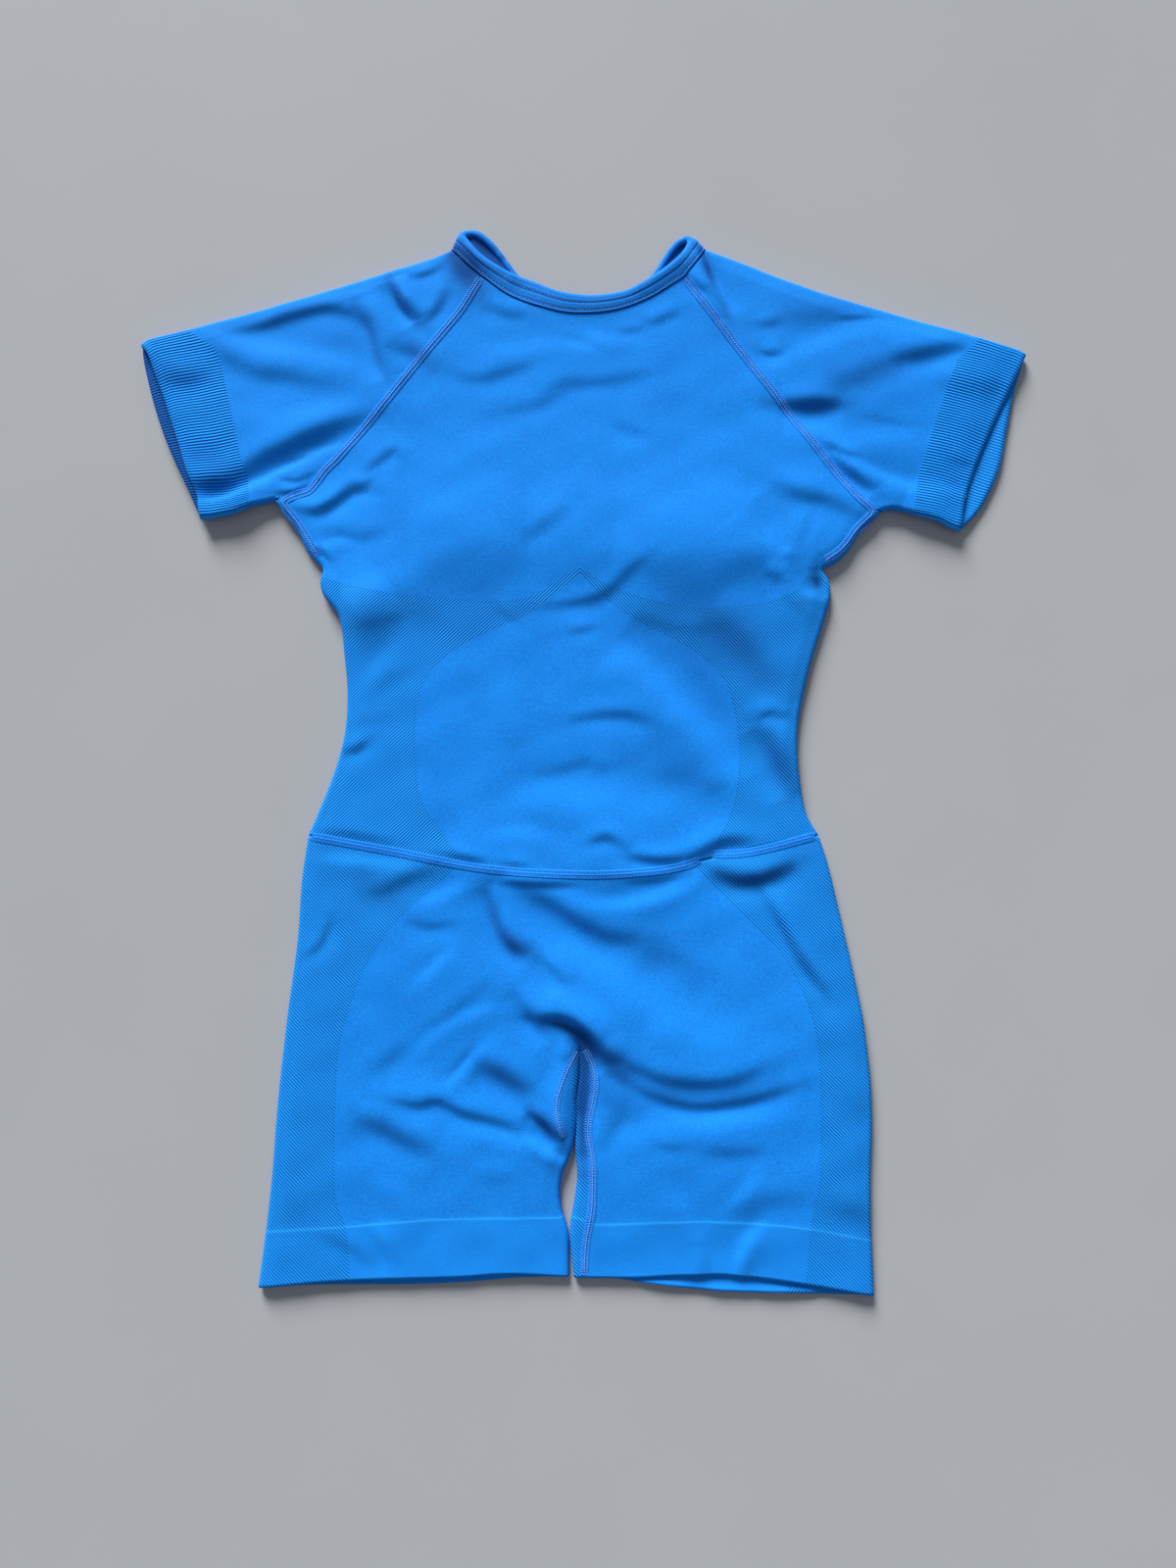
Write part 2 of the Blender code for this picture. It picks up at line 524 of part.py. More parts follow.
def sleeve_rings(left_sleeve):
    """Rings of the sleeve tube from the cuff's edge to the raglan seam, as one closed grid."""
    half = SEAM_GAP / 2
    aside = half if left_sleeve else -half
    lower = smooth_path(LOWER_LEFT if left_sleeve else LOWER_RIGHT)
    shoulder = smooth_path(SHOULDER_LEFT if left_sleeve else SHOULDER_RIGHT)
    edges = []
    for path in (lower, shoulder):
        length = run_of(path)[-1]
        spacing = np.linspace(CUFF_LENGTH, length, SLEEVE_STEPS + 1)
        edges.append(at_distances(path, [0.0, CUFF_LENGTH - 3.0, *spacing]))
    layers = []
    for front in (True, False):
        raglan, tip, cuff = {
            (True, True): (RAGLAN_LEFT, TIP_FRONT_LEFT, CUFF_FRONT_LEFT),
            (True, False): (BACK_RAGLAN_LEFT, TIP_BACK_LEFT, CUFF_BACK_LEFT),
            (False, True): (RAGLAN_RIGHT, TIP_FRONT_RIGHT, CUFF_FRONT_RIGHT),
            (False, False): (BACK_RAGLAN_RIGHT, TIP_BACK_RIGHT, CUFF_BACK_RIGHT),
        }[left_sleeve, front]
        steps = RAGLAN_STEPS if front else BACK_RAGLAN_STEPS
        seam = seam_edge(raglan, steps, aside, small_start=True)
        neck = seam_edge(tip, TIP_STEPS, aside, small_end=True)
        joined_ends(seam, neck)
        end = np.vstack([seam, neck[1:]])
        for corner, fold in ((0, edges[0]), (-1, edges[1])):
            back_along = fold[-2] - fold[-1]
            end[corner] += back_along / np.linalg.norm(back_along) * CORNER_GAP
        opening = divided(smooth_path(cuff), steps + TIP_STEPS, True, True)
        left, right = edges[0].copy(), edges[1].copy()
        left[-1], right[-1] = end[0], end[-1]
        layers.append(surface(patch(left, right, opening, end), front))
    front, back = layers
    for column in (0, -1):
        share_points(front, back, slice(None), column)
    return np.concatenate([front, back[:, -2:0:-1]], axis=1), front.shape[1]


def fan(coarse, fine_groups):
    """Triangles between a coarse ring and a finer one whose points are grouped by the coarse steps."""
    faces = []
    count = len(coarse)
    for k in range(count):
        first, second = coarse[k], coarse[(k + 1) % count]
        group = fine_groups[k] + [fine_groups[(k + 1) % count][0]]
        turn = len(group) // 2
        faces += [[first, group[m + 1], group[m]] for m in range(turn)]
        faces.append([first, second, group[turn]])
        faces += [[second, group[m + 1], group[m]] for m in range(turn, len(group) - 1)]
    return faces


def sleeve_wall(left_sleeve):
    """Sleeve tube with a plain inside and underside, whose outer wall carries the cuff's ribs on its front."""
    rings, front_columns = sleeve_rings(left_sleeve)
    rows, columns = rings.shape[:2]
    index = np.arange(rows * columns).reshape(rows, columns)
    following = np.roll(index, -1, axis=1)
    quads = np.stack([index[:-1], index[1:], following[1:], following[:-1]], axis=-1)
    if not left_sleeve:
        quads = quads[..., ::-1]
    normals = point_normals(rings.reshape(-1, 3), quads.reshape(-1, 4).tolist()).reshape(rings.shape)
    outer = rings + normals * WALL / 2
    inner = rings - normals * WALL / 2
    points = [outer.reshape(-1, 3), inner.reshape(-1, 3)]
    offset = rows * columns
    faces = quads[2:].reshape(-1, 4).tolist()
    faces += (quads.reshape(-1, 4)[:, ::-1] + offset).tolist()
    last = index[-1]
    rim = np.stack([last, last + offset, np.roll(last, -1) + offset, np.roll(last, -1)], axis=-1)
    faces += (rim if left_sleeve else rim[:, ::-1]).tolist()
    start = 2 * offset
    ring_groups = []
    for row in (1, 0):
        groups = []
        for k in range(columns):
            a, b = outer[row, k], outer[row, (k + 1) % columns]
            n = normals[row, k] + normals[row, (k + 1) % columns]
            n /= np.linalg.norm(n)
            step = np.linalg.norm(outer[0, (k + 1) % columns] - outer[0, k])
            ribs = int(round(step / RIB_PITCH)) if k < front_columns - 1 else 0
            share = np.arange(max(2 * ribs, 1)) / max(2 * ribs, 1)
            raised = np.where(np.arange(len(share)) % 2 == 1, RIB_HEIGHT, 0.0)
            points.append(a + (b - a) * share[:, None] + n * raised[:, None])
            groups.append(list(range(start, start + len(share))))
            start += len(share)
        ring_groups.append(groups)
    upper, edge = ring_groups
    flat_upper = [corner for group in upper for corner in group]
    flat_edge = [corner for group in edge for corner in group]
    next_upper = flat_upper[1:] + flat_upper[:1]
    next_edge = flat_edge[1:] + flat_edge[:1]
    cuff = [list(corners) for corners in zip(flat_edge, flat_upper, next_upper, next_edge)]
    body_fan = fan(index[2].tolist(), upper)
    rim_fan = fan((index[0] + offset).tolist(), edge)
    if left_sleeve:
        rim_fan = [face[::-1] for face in rim_fan]
    else:
        cuff = [face[::-1] for face in cuff]
        body_fan = [face[::-1] for face in body_fan]
    return np.vstack(points), faces + cuff + body_fan + rim_fan


def binding_wall():
    """Folded strip round the neck: a closed band between the neck seam and its own free edge."""
    half = SEAM_GAP / 2
    layers = []
    for front in (True, False):
        left_tip = TIP_FRONT_LEFT if front else TIP_BACK_LEFT
        right_tip = TIP_FRONT_RIGHT if front else TIP_BACK_RIGHT
        columns = NECK_STEPS if front else BACK_NECK_STEPS
        start = seam_edge(left_tip, TIP_STEPS, -half, small_end=True)[::-1]
        middle = seam_edge(NECK_FRONT if front else NECK_BACK, columns, half, True, True)
        end = seam_edge(right_tip, TIP_STEPS, half, small_end=True)
        joined_ends(start, middle, end)
        seam = np.vstack([start, middle[1:], end[1:]])
        free = smooth_path(BINDING_FRONT if front else BINDING_BACK)
        free = at_distances(free, run_of(seam) / run_of(seam)[-1] * run_of(free)[-1])
        share = np.linspace(0, 1, 4)[:, None, None]
        grid = seam[None] * (1 - share) + free[None] * share
        swell = BINDING_SWELL * np.sin(np.pi * share[..., 0])
        extra = BINDING_RISE + swell if front else np.full_like(swell, (BINDING_WALL - WALL) / 2)
        layers.append(surface(grid, front, np.repeat(extra, grid.shape[1], axis=1).reshape(-1)))
    front, back = layers
    for column in (0, -1):
        share_points(front, back, slice(None), column)
    band = np.concatenate([front, back[:, -2:0:-1]], axis=1)
    rows, columns = band.shape[:2]
    index = np.arange(rows * columns).reshape(rows, columns)
    following = np.roll(index, -1, axis=1)
    quads = np.stack([index[:-1], following[:-1], following[1:], index[1:]], axis=-1).reshape(-1, 4)
    return walled(band.reshape(-1, 3), quads.tolist(), BINDING_WALL)


def clear_scene():
    for old in list(bpy.data.objects):
        bpy.data.objects.remove(old, do_unlink=True)


def main():
    clear_scene()
    collection = bpy.data.collections.new(OBJECT_NAME)
    bpy.context.scene.collection.children.link(collection)
    piece_object("bodice", *walled(*bodice_sheet(), WALL), collection)
    piece_object("shorts", *walled(*shorts_sheet(), WALL), collection)
    piece_object("sleeve_left", *sleeve_wall(True), collection)
    piece_object("sleeve_right", *sleeve_wall(False), collection)
    piece_object("neck_binding", *binding_wall(), collection)


main()
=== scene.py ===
"""Looks of the short-sleeved yoga bodysuit: its knitted cloth, seams and stitching, laid out flat on a floor.

+X is to the right of the laid-out garment, +Y towards its neck, +Z up. The outline tables are in millimetres
and are the ones that the solids have; the meshes are in metres. The back layer lies on the floor and the
front layer lies on it. The front layer carries the creases that are listed in the tables below.
"""

from __future__ import annotations

import json
import logging
import math
from dataclasses import dataclass, field
from enum import Enum
from typing import Callable, Iterable, Sequence

import bpy
import numpy as np
from mathutils import Matrix, Vector

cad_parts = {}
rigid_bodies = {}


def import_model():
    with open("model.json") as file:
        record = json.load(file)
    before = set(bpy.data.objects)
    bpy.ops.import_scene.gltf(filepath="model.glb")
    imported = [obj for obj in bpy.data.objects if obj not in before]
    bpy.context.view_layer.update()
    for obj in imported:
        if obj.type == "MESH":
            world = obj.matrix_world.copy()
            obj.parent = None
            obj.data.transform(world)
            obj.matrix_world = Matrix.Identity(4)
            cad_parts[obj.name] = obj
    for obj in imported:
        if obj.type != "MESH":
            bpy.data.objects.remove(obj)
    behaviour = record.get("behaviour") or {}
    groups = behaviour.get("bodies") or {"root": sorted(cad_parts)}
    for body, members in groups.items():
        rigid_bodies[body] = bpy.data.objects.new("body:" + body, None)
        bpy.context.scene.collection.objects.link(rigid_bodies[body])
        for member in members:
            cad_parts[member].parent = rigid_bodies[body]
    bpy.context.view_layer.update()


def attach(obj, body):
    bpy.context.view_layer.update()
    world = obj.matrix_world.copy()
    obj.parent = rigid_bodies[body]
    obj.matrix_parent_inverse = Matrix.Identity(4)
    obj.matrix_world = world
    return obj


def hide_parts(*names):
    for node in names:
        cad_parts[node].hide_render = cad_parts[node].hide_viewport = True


log = logging.getLogger("bodysuit")

Array = np.ndarray
Spots = Sequence[Sequence[float]]
Triple = tuple[float, float, float]
Socket = bpy.types.NodeSocket
Material = bpy.types.Material

MM = 0.001
TO_CENTRE = np.array((0.1, 0.515, 0.0))
WELD = 0.01
BODY = "root"
SMALL_STEPS = (0.3, 0.8, 1.4, 2.2, 3.2)
SEAM_GAP = 0.32
CORNER_GAP = 0.7
RIB_PITCH = 1.42


class Face(Enum):
    """Which layer of the laid-out tube."""

    FRONT = "front"
    BACK = "back"


class Hand(Enum):
    """Which side of the picture a sleeve lies on."""

    LEFT = "left"
    RIGHT = "right"


def fixed(table: dict) -> dict:
    """Field of a dataclass that holds this table."""
    return field(default_factory=lambda: table)


# ---------------------------------------------------------------- plan curves


def run_of(path: Array) -> Array:
    """Distance along a path at each of its points, by its first two columns."""
    steps = np.linalg.norm(np.diff(path[:, :2], axis=0), axis=1)
    return np.concatenate([[0.0], np.cumsum(steps)])


def smooth_path(spots: Spots, samples: int = 16) -> Array:
    """Rounded curve through spots: cubic pieces whose end slopes are half the chord across each spot.

    Args:
        spots: the points that the curve passes through.
        samples: how many points each stretch gets.

    Returns:
        The curve's points.
    """
    rows = np.array(spots, float)
    ends = np.vstack([2 * rows[0] - rows[1], rows, 2 * rows[-1] - rows[-2]])
    a, b, c, d = ends[:-3], ends[1:-2], ends[2:-1], ends[3:]
    limit = np.linalg.norm(c - b, axis=1)
    start, end = (c - a) / 2, (d - b) / 2
    start = start * np.minimum(1, limit / np.maximum(np.linalg.norm(start, axis=1), 1e-9))[:, None]
    end = end * np.minimum(1, limit / np.maximum(np.linalg.norm(end, axis=1), 1e-9))[:, None]
    t = np.linspace(0, 1, samples, endpoint=False)[None, :, None]
    b, c, start, end = b[:, None], c[:, None], start[:, None], end[:, None]
    curve = b * (2 * t**3 - 3 * t**2 + 1) + start * (t**3 - 2 * t**2 + t)
    curve = curve + c * (3 * t**2 - 2 * t**3) + end * (t**3 - t**2)
    return np.vstack([curve.reshape(-1, rows.shape[1]), rows[-1:]])


def at_distances(path: Array, distances: Array) -> Array:
    """Points of a path at the given distances along it.

    Args:
        path: the points of the path.
        distances: how far along it each wanted point lies.

    Returns:
        The points, one row each.
    """
    run = run_of(path)
    return np.stack([np.interp(distances, run, path[:, k]) for k in range(path.shape[1])], axis=1)


def divided(path: Array, steps: int, small_start: bool = False, small_end: bool = False) -> Array:
    """Points that divide a path evenly, with small steps next to a folded end.

    Args:
        path: the points of the path.
        steps: how many even steps it is divided into.
        small_start: whether its start is a folded edge.
        small_end: whether its end is a folded edge.

    Returns:
        The stations.
    """
    length = run_of(path)[-1]
    small = np.array(SMALL_STEPS)
    first = small[-1] if small_start else 0.0
    last = length - (small[-1] if small_end else 0.0)
    distances = np.linspace(first, last, steps + 1)
    if small_start:
        distances = np.concatenate([[0.0], small[:-1], distances])
    if small_end:
        distances = np.concatenate([distances, length - small[-2::-1], [length]])
    return at_distances(path, distances)


def moved_aside(path: Array, distance: float) -> Array:
    """The path moved to its left by the distance; a negative distance moves it to its right.

    Args:
        path: the points of the path.
        distance: how far it moves.

    Returns:
        The moved path.
    """
    forward = np.gradient(path, axis=0)
    forward /= np.linalg.norm(forward, axis=1)[:, None]
    return path + np.stack([-forward[:, 1], forward[:, 0]], axis=1) * distance


def seam_edge(
    spots: Spots, steps: int, aside: float, small_start: bool = False, small_end: bool = False
) -> Array:
    """Stations along a seam, moved off the seam line towards the piece.

    Args:
        spots: the seam line's points.
        steps: how many even steps it is divided into.
        aside: how far to its left the edge lies.
        small_start: whether its start is a folded edge.
        small_end: whether its end is a folded edge.

    Returns:
        The edge's stations.
    """
    path = smooth_path(spots)
    both = np.hstack([path, moved_aside(path, aside)])
    return divided(both, steps, small_start, small_end)[:, 2:]


def nearest(points: Array, path: Array, reach: float = 1e9) -> tuple[Array, Array, Array]:
    """Distance to a path, share along it and side of it, for points within reach of its box.

    Each point is dropped onto every straight stretch of the path at once, and the closest foot counts.

    Args:
        points: plan points.
        path: the path's points.
        reach: points further than this from the path's box keep a large distance.

    Returns:
        Distances, shares from 0 to 1, and sides: 1 to the left of the path, -1 to its right and between the
        two round its ends.
    """
    distance = np.full(len(points), 1e6)
    along = np.zeros(len(points))
    side = np.ones(len(points))
    low, high = path.min(0) - reach, path.max(0) + reach
    near = np.flatnonzero(((points >= low) & (points <= high)).all(1))
    starts, edges = path[:-1], np.diff(path, axis=0)
    lengths = np.maximum(np.linalg.norm(edges, axis=1), 1e-9)
    unit = edges / lengths[:, None]
    run = run_of(path)
    for part in np.array_split(near, max(1, len(near) * len(edges) // 4_000_000 + 1)):
        offset = points[part][:, None] - starts[None]
        t = np.clip((offset * unit).sum(2), 0, lengths)
        gap = offset - unit * t[..., None]
        gaps = np.hypot(gap[..., 0], gap[..., 1])
        best = gaps.argmin(1)
        rows = np.arange(len(part))
        distance[part] = gaps[rows, best]
        along[part] = (run[best] + t[rows, best]) / run[-1]
        foot = gap[rows, best]
        turned = unit[best, 0] * foot[:, 1] - unit[best, 1] * foot[:, 0]
        side[part] = np.clip(turned / np.maximum(gaps[rows, best], 1e-6), -1, 1)
    return distance, along, side


def inside(points: Array, ring: Array) -> Array:
    """Whether each point lies inside a closed ring, by counting the edges that a level ray crosses.

    Args:
        points: plan points.
        ring: the corners of the ring in order.

    Returns:
        One truth value for each point.
    """
    a, b = ring, np.roll(ring, -1, axis=0)
    x, y = points[:, :1], points[:, 1:]
    spans = (a[:, 1] > y) != (b[:, 1] > y)
    rise = np.where(np.abs(b[:, 1] - a[:, 1]) < 1e-9, 1e-9, b[:, 1] - a[:, 1])
    crossing = a[:, 0] + (y - a[:, 1]) * (b[:, 0] - a[:, 0]) / rise
    return (spans & (x < crossing)).sum(1) % 2 == 1


def smoothstep(low: float, high: float, values: Array) -> Array:
    """0 below low, 1 above high and an S-curve between.

    Args:
        low: where the curve leaves 0.
        high: where it reaches 1.
        values: the numbers to look up.

    Returns:
        The share of each number, from 0 to 1.
    """
    t = np.clip((values - low) / (high - low), 0, 1)
    return t * t * (3 - 2 * t)


def patch(left: Array, right: Array, bottom: Array, top: Array) -> Array:
    """Grid of plan points between four edges.

    It adds the blends of the two pairs of opposite edges and takes the blend of the four corners away.
    """
    shares = [run_of(edge) / run_of(edge)[-1] for edge in (left, right, bottom, top)]
    v = ((shares[0] + shares[1]) / 2)[:, None, None]
    across_bottom, across_top = shares[2][None, :, None], shares[3][None, :, None]
    u = (1 - v) * across_bottom + v * across_top
    sides = (1 - u) * left[:, None] + u * right[:, None]
    ends = (1 - v) * bottom[None] + v * top[None]
    chords = (1 - v) * ((1 - across_bottom) * bottom[0] + across_bottom * bottom[-1])
    return sides + ends - chords - v * ((1 - across_top) * top[0] + across_top * top[-1])


def corner_step(path: Array) -> Array:
    """Step from a path's end back along it, as long as the gap where three pieces meet."""
    back_along = path[-2] - path[-1]
    return back_along / np.linalg.norm(back_along) * CORNER_GAP


def joined_ends(*edges: Array) -> None:
    """Makes each edge start where the one before it ends, halfway between the two."""
    for first, second in zip(edges, edges[1:]):
        middle = (first[-1] + second[0]) / 2
        first[-1] = middle
        second[0] = middle


# ---------------------------------------------------------------- the cut


@dataclass(frozen=True)
class Outline:
    """Seam lines, folded edges and free edges of the laid-out garment in plan, in millimetres."""

    side: dict[Hand, Spots] = fixed({
        Hand.LEFT: (
            (-155, -54.4), (-149.7, -41.6), (-141.3, -19.3), (-135.5, 3.2), (-134.3, 25.8), (-136.4, 48.6),
            (-139.6, 71), (-149, 84.2), (-151.2, 92.2), (-149.9, 99.6), (-158.8, 109.8), (-165.4, 122.6),
            (-174.2, 134.2), (-178.6, 140),
        ),
        Hand.RIGHT: (
            (132.5, -54.4), (125.5, -41.6), (121.9, -19.3), (121.2, 3.2), (124.9, 25.8), (130.9, 48.6),
            (138.4, 71.5), (141.7, 84), (140.9, 92.2), (137.9, 99.2), (145.2, 103.4), (152.2, 110),
            (160.4, 122.6), (167.4, 128.6), (172, 133.6),
        ),
    })
    raglan: dict[tuple[Face, Hand], Spots] = fixed({
        (Face.FRONT, Hand.LEFT): (
            (-178.6, 140), (-170.5, 142.6), (-159, 145.2), (-149.2, 157.9), (-117.8, 195), (-95.3, 225.4),
            (-72.5, 254.5), (-60, 274.6),
        ),
        (Face.FRONT, Hand.RIGHT): (
            (172, 133.6), (165, 135.6), (157.5, 143), (144.2, 158.5), (117.3, 193.9), (91.9, 228.3),
            (71.9, 255.5), (59.4, 274.4),
        ),
        (Face.BACK, Hand.LEFT): ((-178.6, 140), (-152, 164), (-106, 222), (-61, 280.6)),
        (Face.BACK, Hand.RIGHT): ((172, 133.6), (148, 162), (102, 222), (57.2, 279)),
    })
    neck: dict[Face, Spots] = fixed({
        Face.FRONT: (
            (-60, 274.6), (-42.5, 261.9), (-17, 253.3), (2, 251.8), (21.1, 254.2), (40, 261.9),
            (59.4, 274.4),
        ),
        Face.BACK: (
            (-61, 280.6), (-47.2, 268.8), (-27, 250.5), (-1, 241), (25.7, 250.5), (44, 266), (57.2, 279),
        ),
    })
    tip: dict[tuple[Face, Hand], Spots] = fixed({
        (Face.FRONT, Hand.LEFT): ((-60, 274.6), (-68.5, 281.6), (-77.6, 290.8)),
        (Face.FRONT, Hand.RIGHT): ((59.4, 274.4), (66, 282.4), (71.6, 291.6)),
        (Face.BACK, Hand.LEFT): ((-61, 280.6), (-69.5, 286.2), (-77.6, 290.8)),
        (Face.BACK, Hand.RIGHT): ((57.2, 279), (64.8, 285.6), (71.6, 291.6)),
    })
    binding: dict[Face, Spots] = fixed({
        Face.FRONT: (
            (-71.4, 302), (-67.3, 295.6), (-61.8, 288.8), (-54.8, 283), (-42.6, 276), (-29.2, 270.8),
            (-14.8, 265.2), (3.5, 262.6), (22.3, 264.8), (34.8, 270.6), (47.2, 278.8), (58, 288.4),
            (62.6, 299),
        ),
        Face.BACK: (
            (-71.4, 302), (-66.8, 303.8), (-61.4, 302.2), (-55.5, 297.8), (-49.7, 291.7), (-43.8, 283.9),
            (-38, 275.9), (-22, 259.5), (-0.5, 251.5), (22, 259.5), (39.7, 275.9), (43.9, 281.8),
            (50, 291.4), (56.2, 298), (62.6, 299),
        ),
    })
    lower: dict[Hand, Spots] = fixed({
        Hand.LEFT: ((-220.6, 128.4), (-213.3, 129.4), (-202, 131.8), (-190.7, 136.8), (-178.6, 140)),
        Hand.RIGHT: ((217.2, 122), (211.6, 123.6), (205, 127.2), (190.1, 131.7), (180, 134.6), (172, 133.6)),
    })
    shoulder: dict[Hand, Spots] = fixed({
        Hand.LEFT: (
            (-259.4, 232.8), (-255.6, 236.2), (-228.2, 243.4), (-199.6, 251.2), (-170.9, 259.6),
            (-142.1, 268.6), (-113.3, 278.2), (-90.2, 285.6), (-77.6, 290.8),
        ),
        Hand.RIGHT: (
            (259.2, 227.4), (255.6, 230), (233, 237.2), (204.4, 245.1), (175.7, 253.9), (147, 262.5),
            (118.2, 272.8), (92, 283.6), (71.6, 291.6),
        ),
    })
    cuff: dict[tuple[Face, Hand], Spots] = fixed({
        (Face.FRONT, Hand.LEFT): (
            (-220.6, 128.4), (-223.6, 142), (-231.6, 163), (-241.2, 191.5), (-249.4, 214), (-254.6, 227),
            (-259.4, 232.8),
        ),
        (Face.BACK, Hand.LEFT): (
            (-220.6, 128.4), (-224, 134.6), (-229.8, 147.4), (-240.6, 170.4), (-249.6, 194.5),
            (-256.4, 218), (-259.4, 232.8),
        ),
        (Face.FRONT, Hand.RIGHT): (
            (217.2, 122), (220.1, 138), (227.5, 159.7), (238, 183.8), (246.8, 202), (254.5, 217.6),
            (259.2, 227.4),
        ),
        (Face.BACK, Hand.RIGHT): (
            (217.2, 122), (225.2, 129.4), (232, 138.2), (241.6, 158.8), (246.6, 181.6), (252.2, 206),
            (259.2, 227.4),
        ),
    })
    waist: dict[Face, Spots] = fixed({
        Face.FRONT: (
            (-155, -54.4), (-108.3, -63.2), (-54.4, -73.2), (2.6, -76.6), (40, -74), (66, -68.8),
            (94.1, -61.8), (132.5, -54.4),
        ),
        Face.BACK: ((-155, -54.4), (-70, -64), (-8, -67), (60, -63), (132.5, -54.4)),
    })
    hip: dict[Hand, Spots] = fixed({
        Hand.LEFT: ((-155, -54.4), (-158.2, -80.4), (-159.9, -113.4), (-164.7, -155)),
        Hand.RIGHT: ((132.5, -54.4), (137.1, -69.4), (143.3, -96.9), (150.4, -129.7), (155.4, -155)),
    })
    thigh: dict[Hand, Spots] = fixed({
        Hand.LEFT: ((-164.7, -155), (-168.7, -199.8), (-171.2, -242.3), (-174.2, -275), (-177.2, -301.4)),
        Hand.RIGHT: (
            (155.4, -155), (158.6, -185), (159.3, -210), (157.9, -242.3), (157.6, -270), (158.4, -305.8),
        ),
    })
    centre: dict[Face, Spots] = fixed({
        Face.FRONT: ((2.6, -76.6), (0.9, -113.4), (-1.2, -146), (-2.2, -174)),
        Face.BACK: ((-8, -67), (-4, -113.4), (-2.4, -146), (-2.2, -174)),
    })
    inner: dict[Hand, Spots] = fixed({
        Hand.LEFT: (
            (-2.2, -174), (-3.9, -188), (-5.9, -200), (-5.6, -212), (-7, -227.5), (-12, -240.4),
            (-13.4, -250), (-12.5, -259.5), (-8.9, -272), (-8.6, -284), (-8.4, -295.8),
        ),
        Hand.RIGHT: (
            (-2.2, -174), (-2, -188), (-3.8, -200), (-3.6, -212), (-3.9, -227.5), (-2.8, -240.4),
            (-3.9, -252), (-6.2, -265.5), (-6.6, -276), (-5.6, -286), (-4.4, -296.2),
        ),
    })
    hem: dict[tuple[Face, Hand], Spots] = fixed({
        (Face.FRONT, Hand.LEFT): (
            (-177.2, -301.4), (-131.8, -297.9), (-67.3, -295.8), (-40.4, -294.2), (-8.4, -295.8),
        ),
        (Face.BACK, Hand.LEFT): (
            (-177.2, -301.4), (-137, -300.2), (-94, -300), (-60, -298.6), (-40, -296.8), (-8.4, -295.8),
        ),
        (Face.FRONT, Hand.RIGHT): (
            (-4.4, -296.2), (28.9, -296.3), (74.1, -294.8), (110.1, -298.4), (158.4, -305.8),
        ),
        (Face.BACK, Hand.RIGHT): (
            (-4.4, -296.2), (18.7, -297.2), (40.2, -300.2), (77.8, -303.7), (120, -304.8), (158.4, -305.8),
        ),
    })

    def folded_edges(self) -> list[Array]:
        """Paths along which the front layer turns over into the back layer."""
        paths: list[Spots] = []
        for table in (self.side, self.lower, self.shoulder, self.hip, self.thigh, self.inner):
            paths += [table[hand] for hand in Hand]
        front = self.binding[Face.FRONT]
        for hand, end in ((Hand.LEFT, front[0]), (Hand.RIGHT, front[-1])):
            paths.append((self.tip[Face.FRONT, hand][-1], end))
        return [smooth_path(spots, 8) for spots in paths]


# ---------------------------------------------------------------- height of the cloth


@dataclass(frozen=True)
class Crease:
    """One soft crease: the cloth on the left of its path stands higher than the cloth on its right.

    Its section is drop * tanh(d / width) * exp(-(d / reach) ** 2), with d the distance to the left, so the
    cloth falls steeply across the path and comes back gently on both sides. It fades towards both ends.
    """

    path: Spots
    drop: float
    width: float
    reach: float

    def height(self, points: Array) -> Array:
        """What the crease adds at each plan point, in millimetres."""
        path = smooth_path(self.path, 5)
        distance, along, side = nearest(points, path, self.reach * 2.2)
        fade = np.sin(np.pi * np.clip(along, 0.03, 0.97)) ** 0.7
        fall = np.tanh(distance * side / self.width)
        return self.drop * fade * fall * np.exp(-((distance / self.reach) ** 2))


@dataclass(frozen=True)
class Puff:
    """One broad swelling along a path, wider on its left than on its right by lean."""

    path: Spots
    rise: float
    width: float
    lean: float = 0.0

    def height(self, points: Array) -> Array:
        """What the swelling adds at each plan point, in millimetres."""
        path = smooth_path(self.path, 5)
        distance, along, side = nearest(points, path, self.width * 4)
        width = self.width * (1 + self.lean * side)
        fade = np.sin(np.pi * np.clip(along, 0.08, 0.92)) ** 0.5
        return self.rise * fade * np.exp(-((distance / width) ** 2))


def folds(kind: type, rows: Iterable[Sequence[float]]) -> tuple:
    """Creases or puffs from rows of numbers.

    Args:
        kind: Crease or Puff.
        rows: for each, the three numbers of its section and then x and y of each spot of its path.

    Returns:
        The creases or puffs, in the order of the rows.
    """
    return tuple(kind(tuple(zip(row[3::2], row[4::2])), *row[:3]) for row in rows)


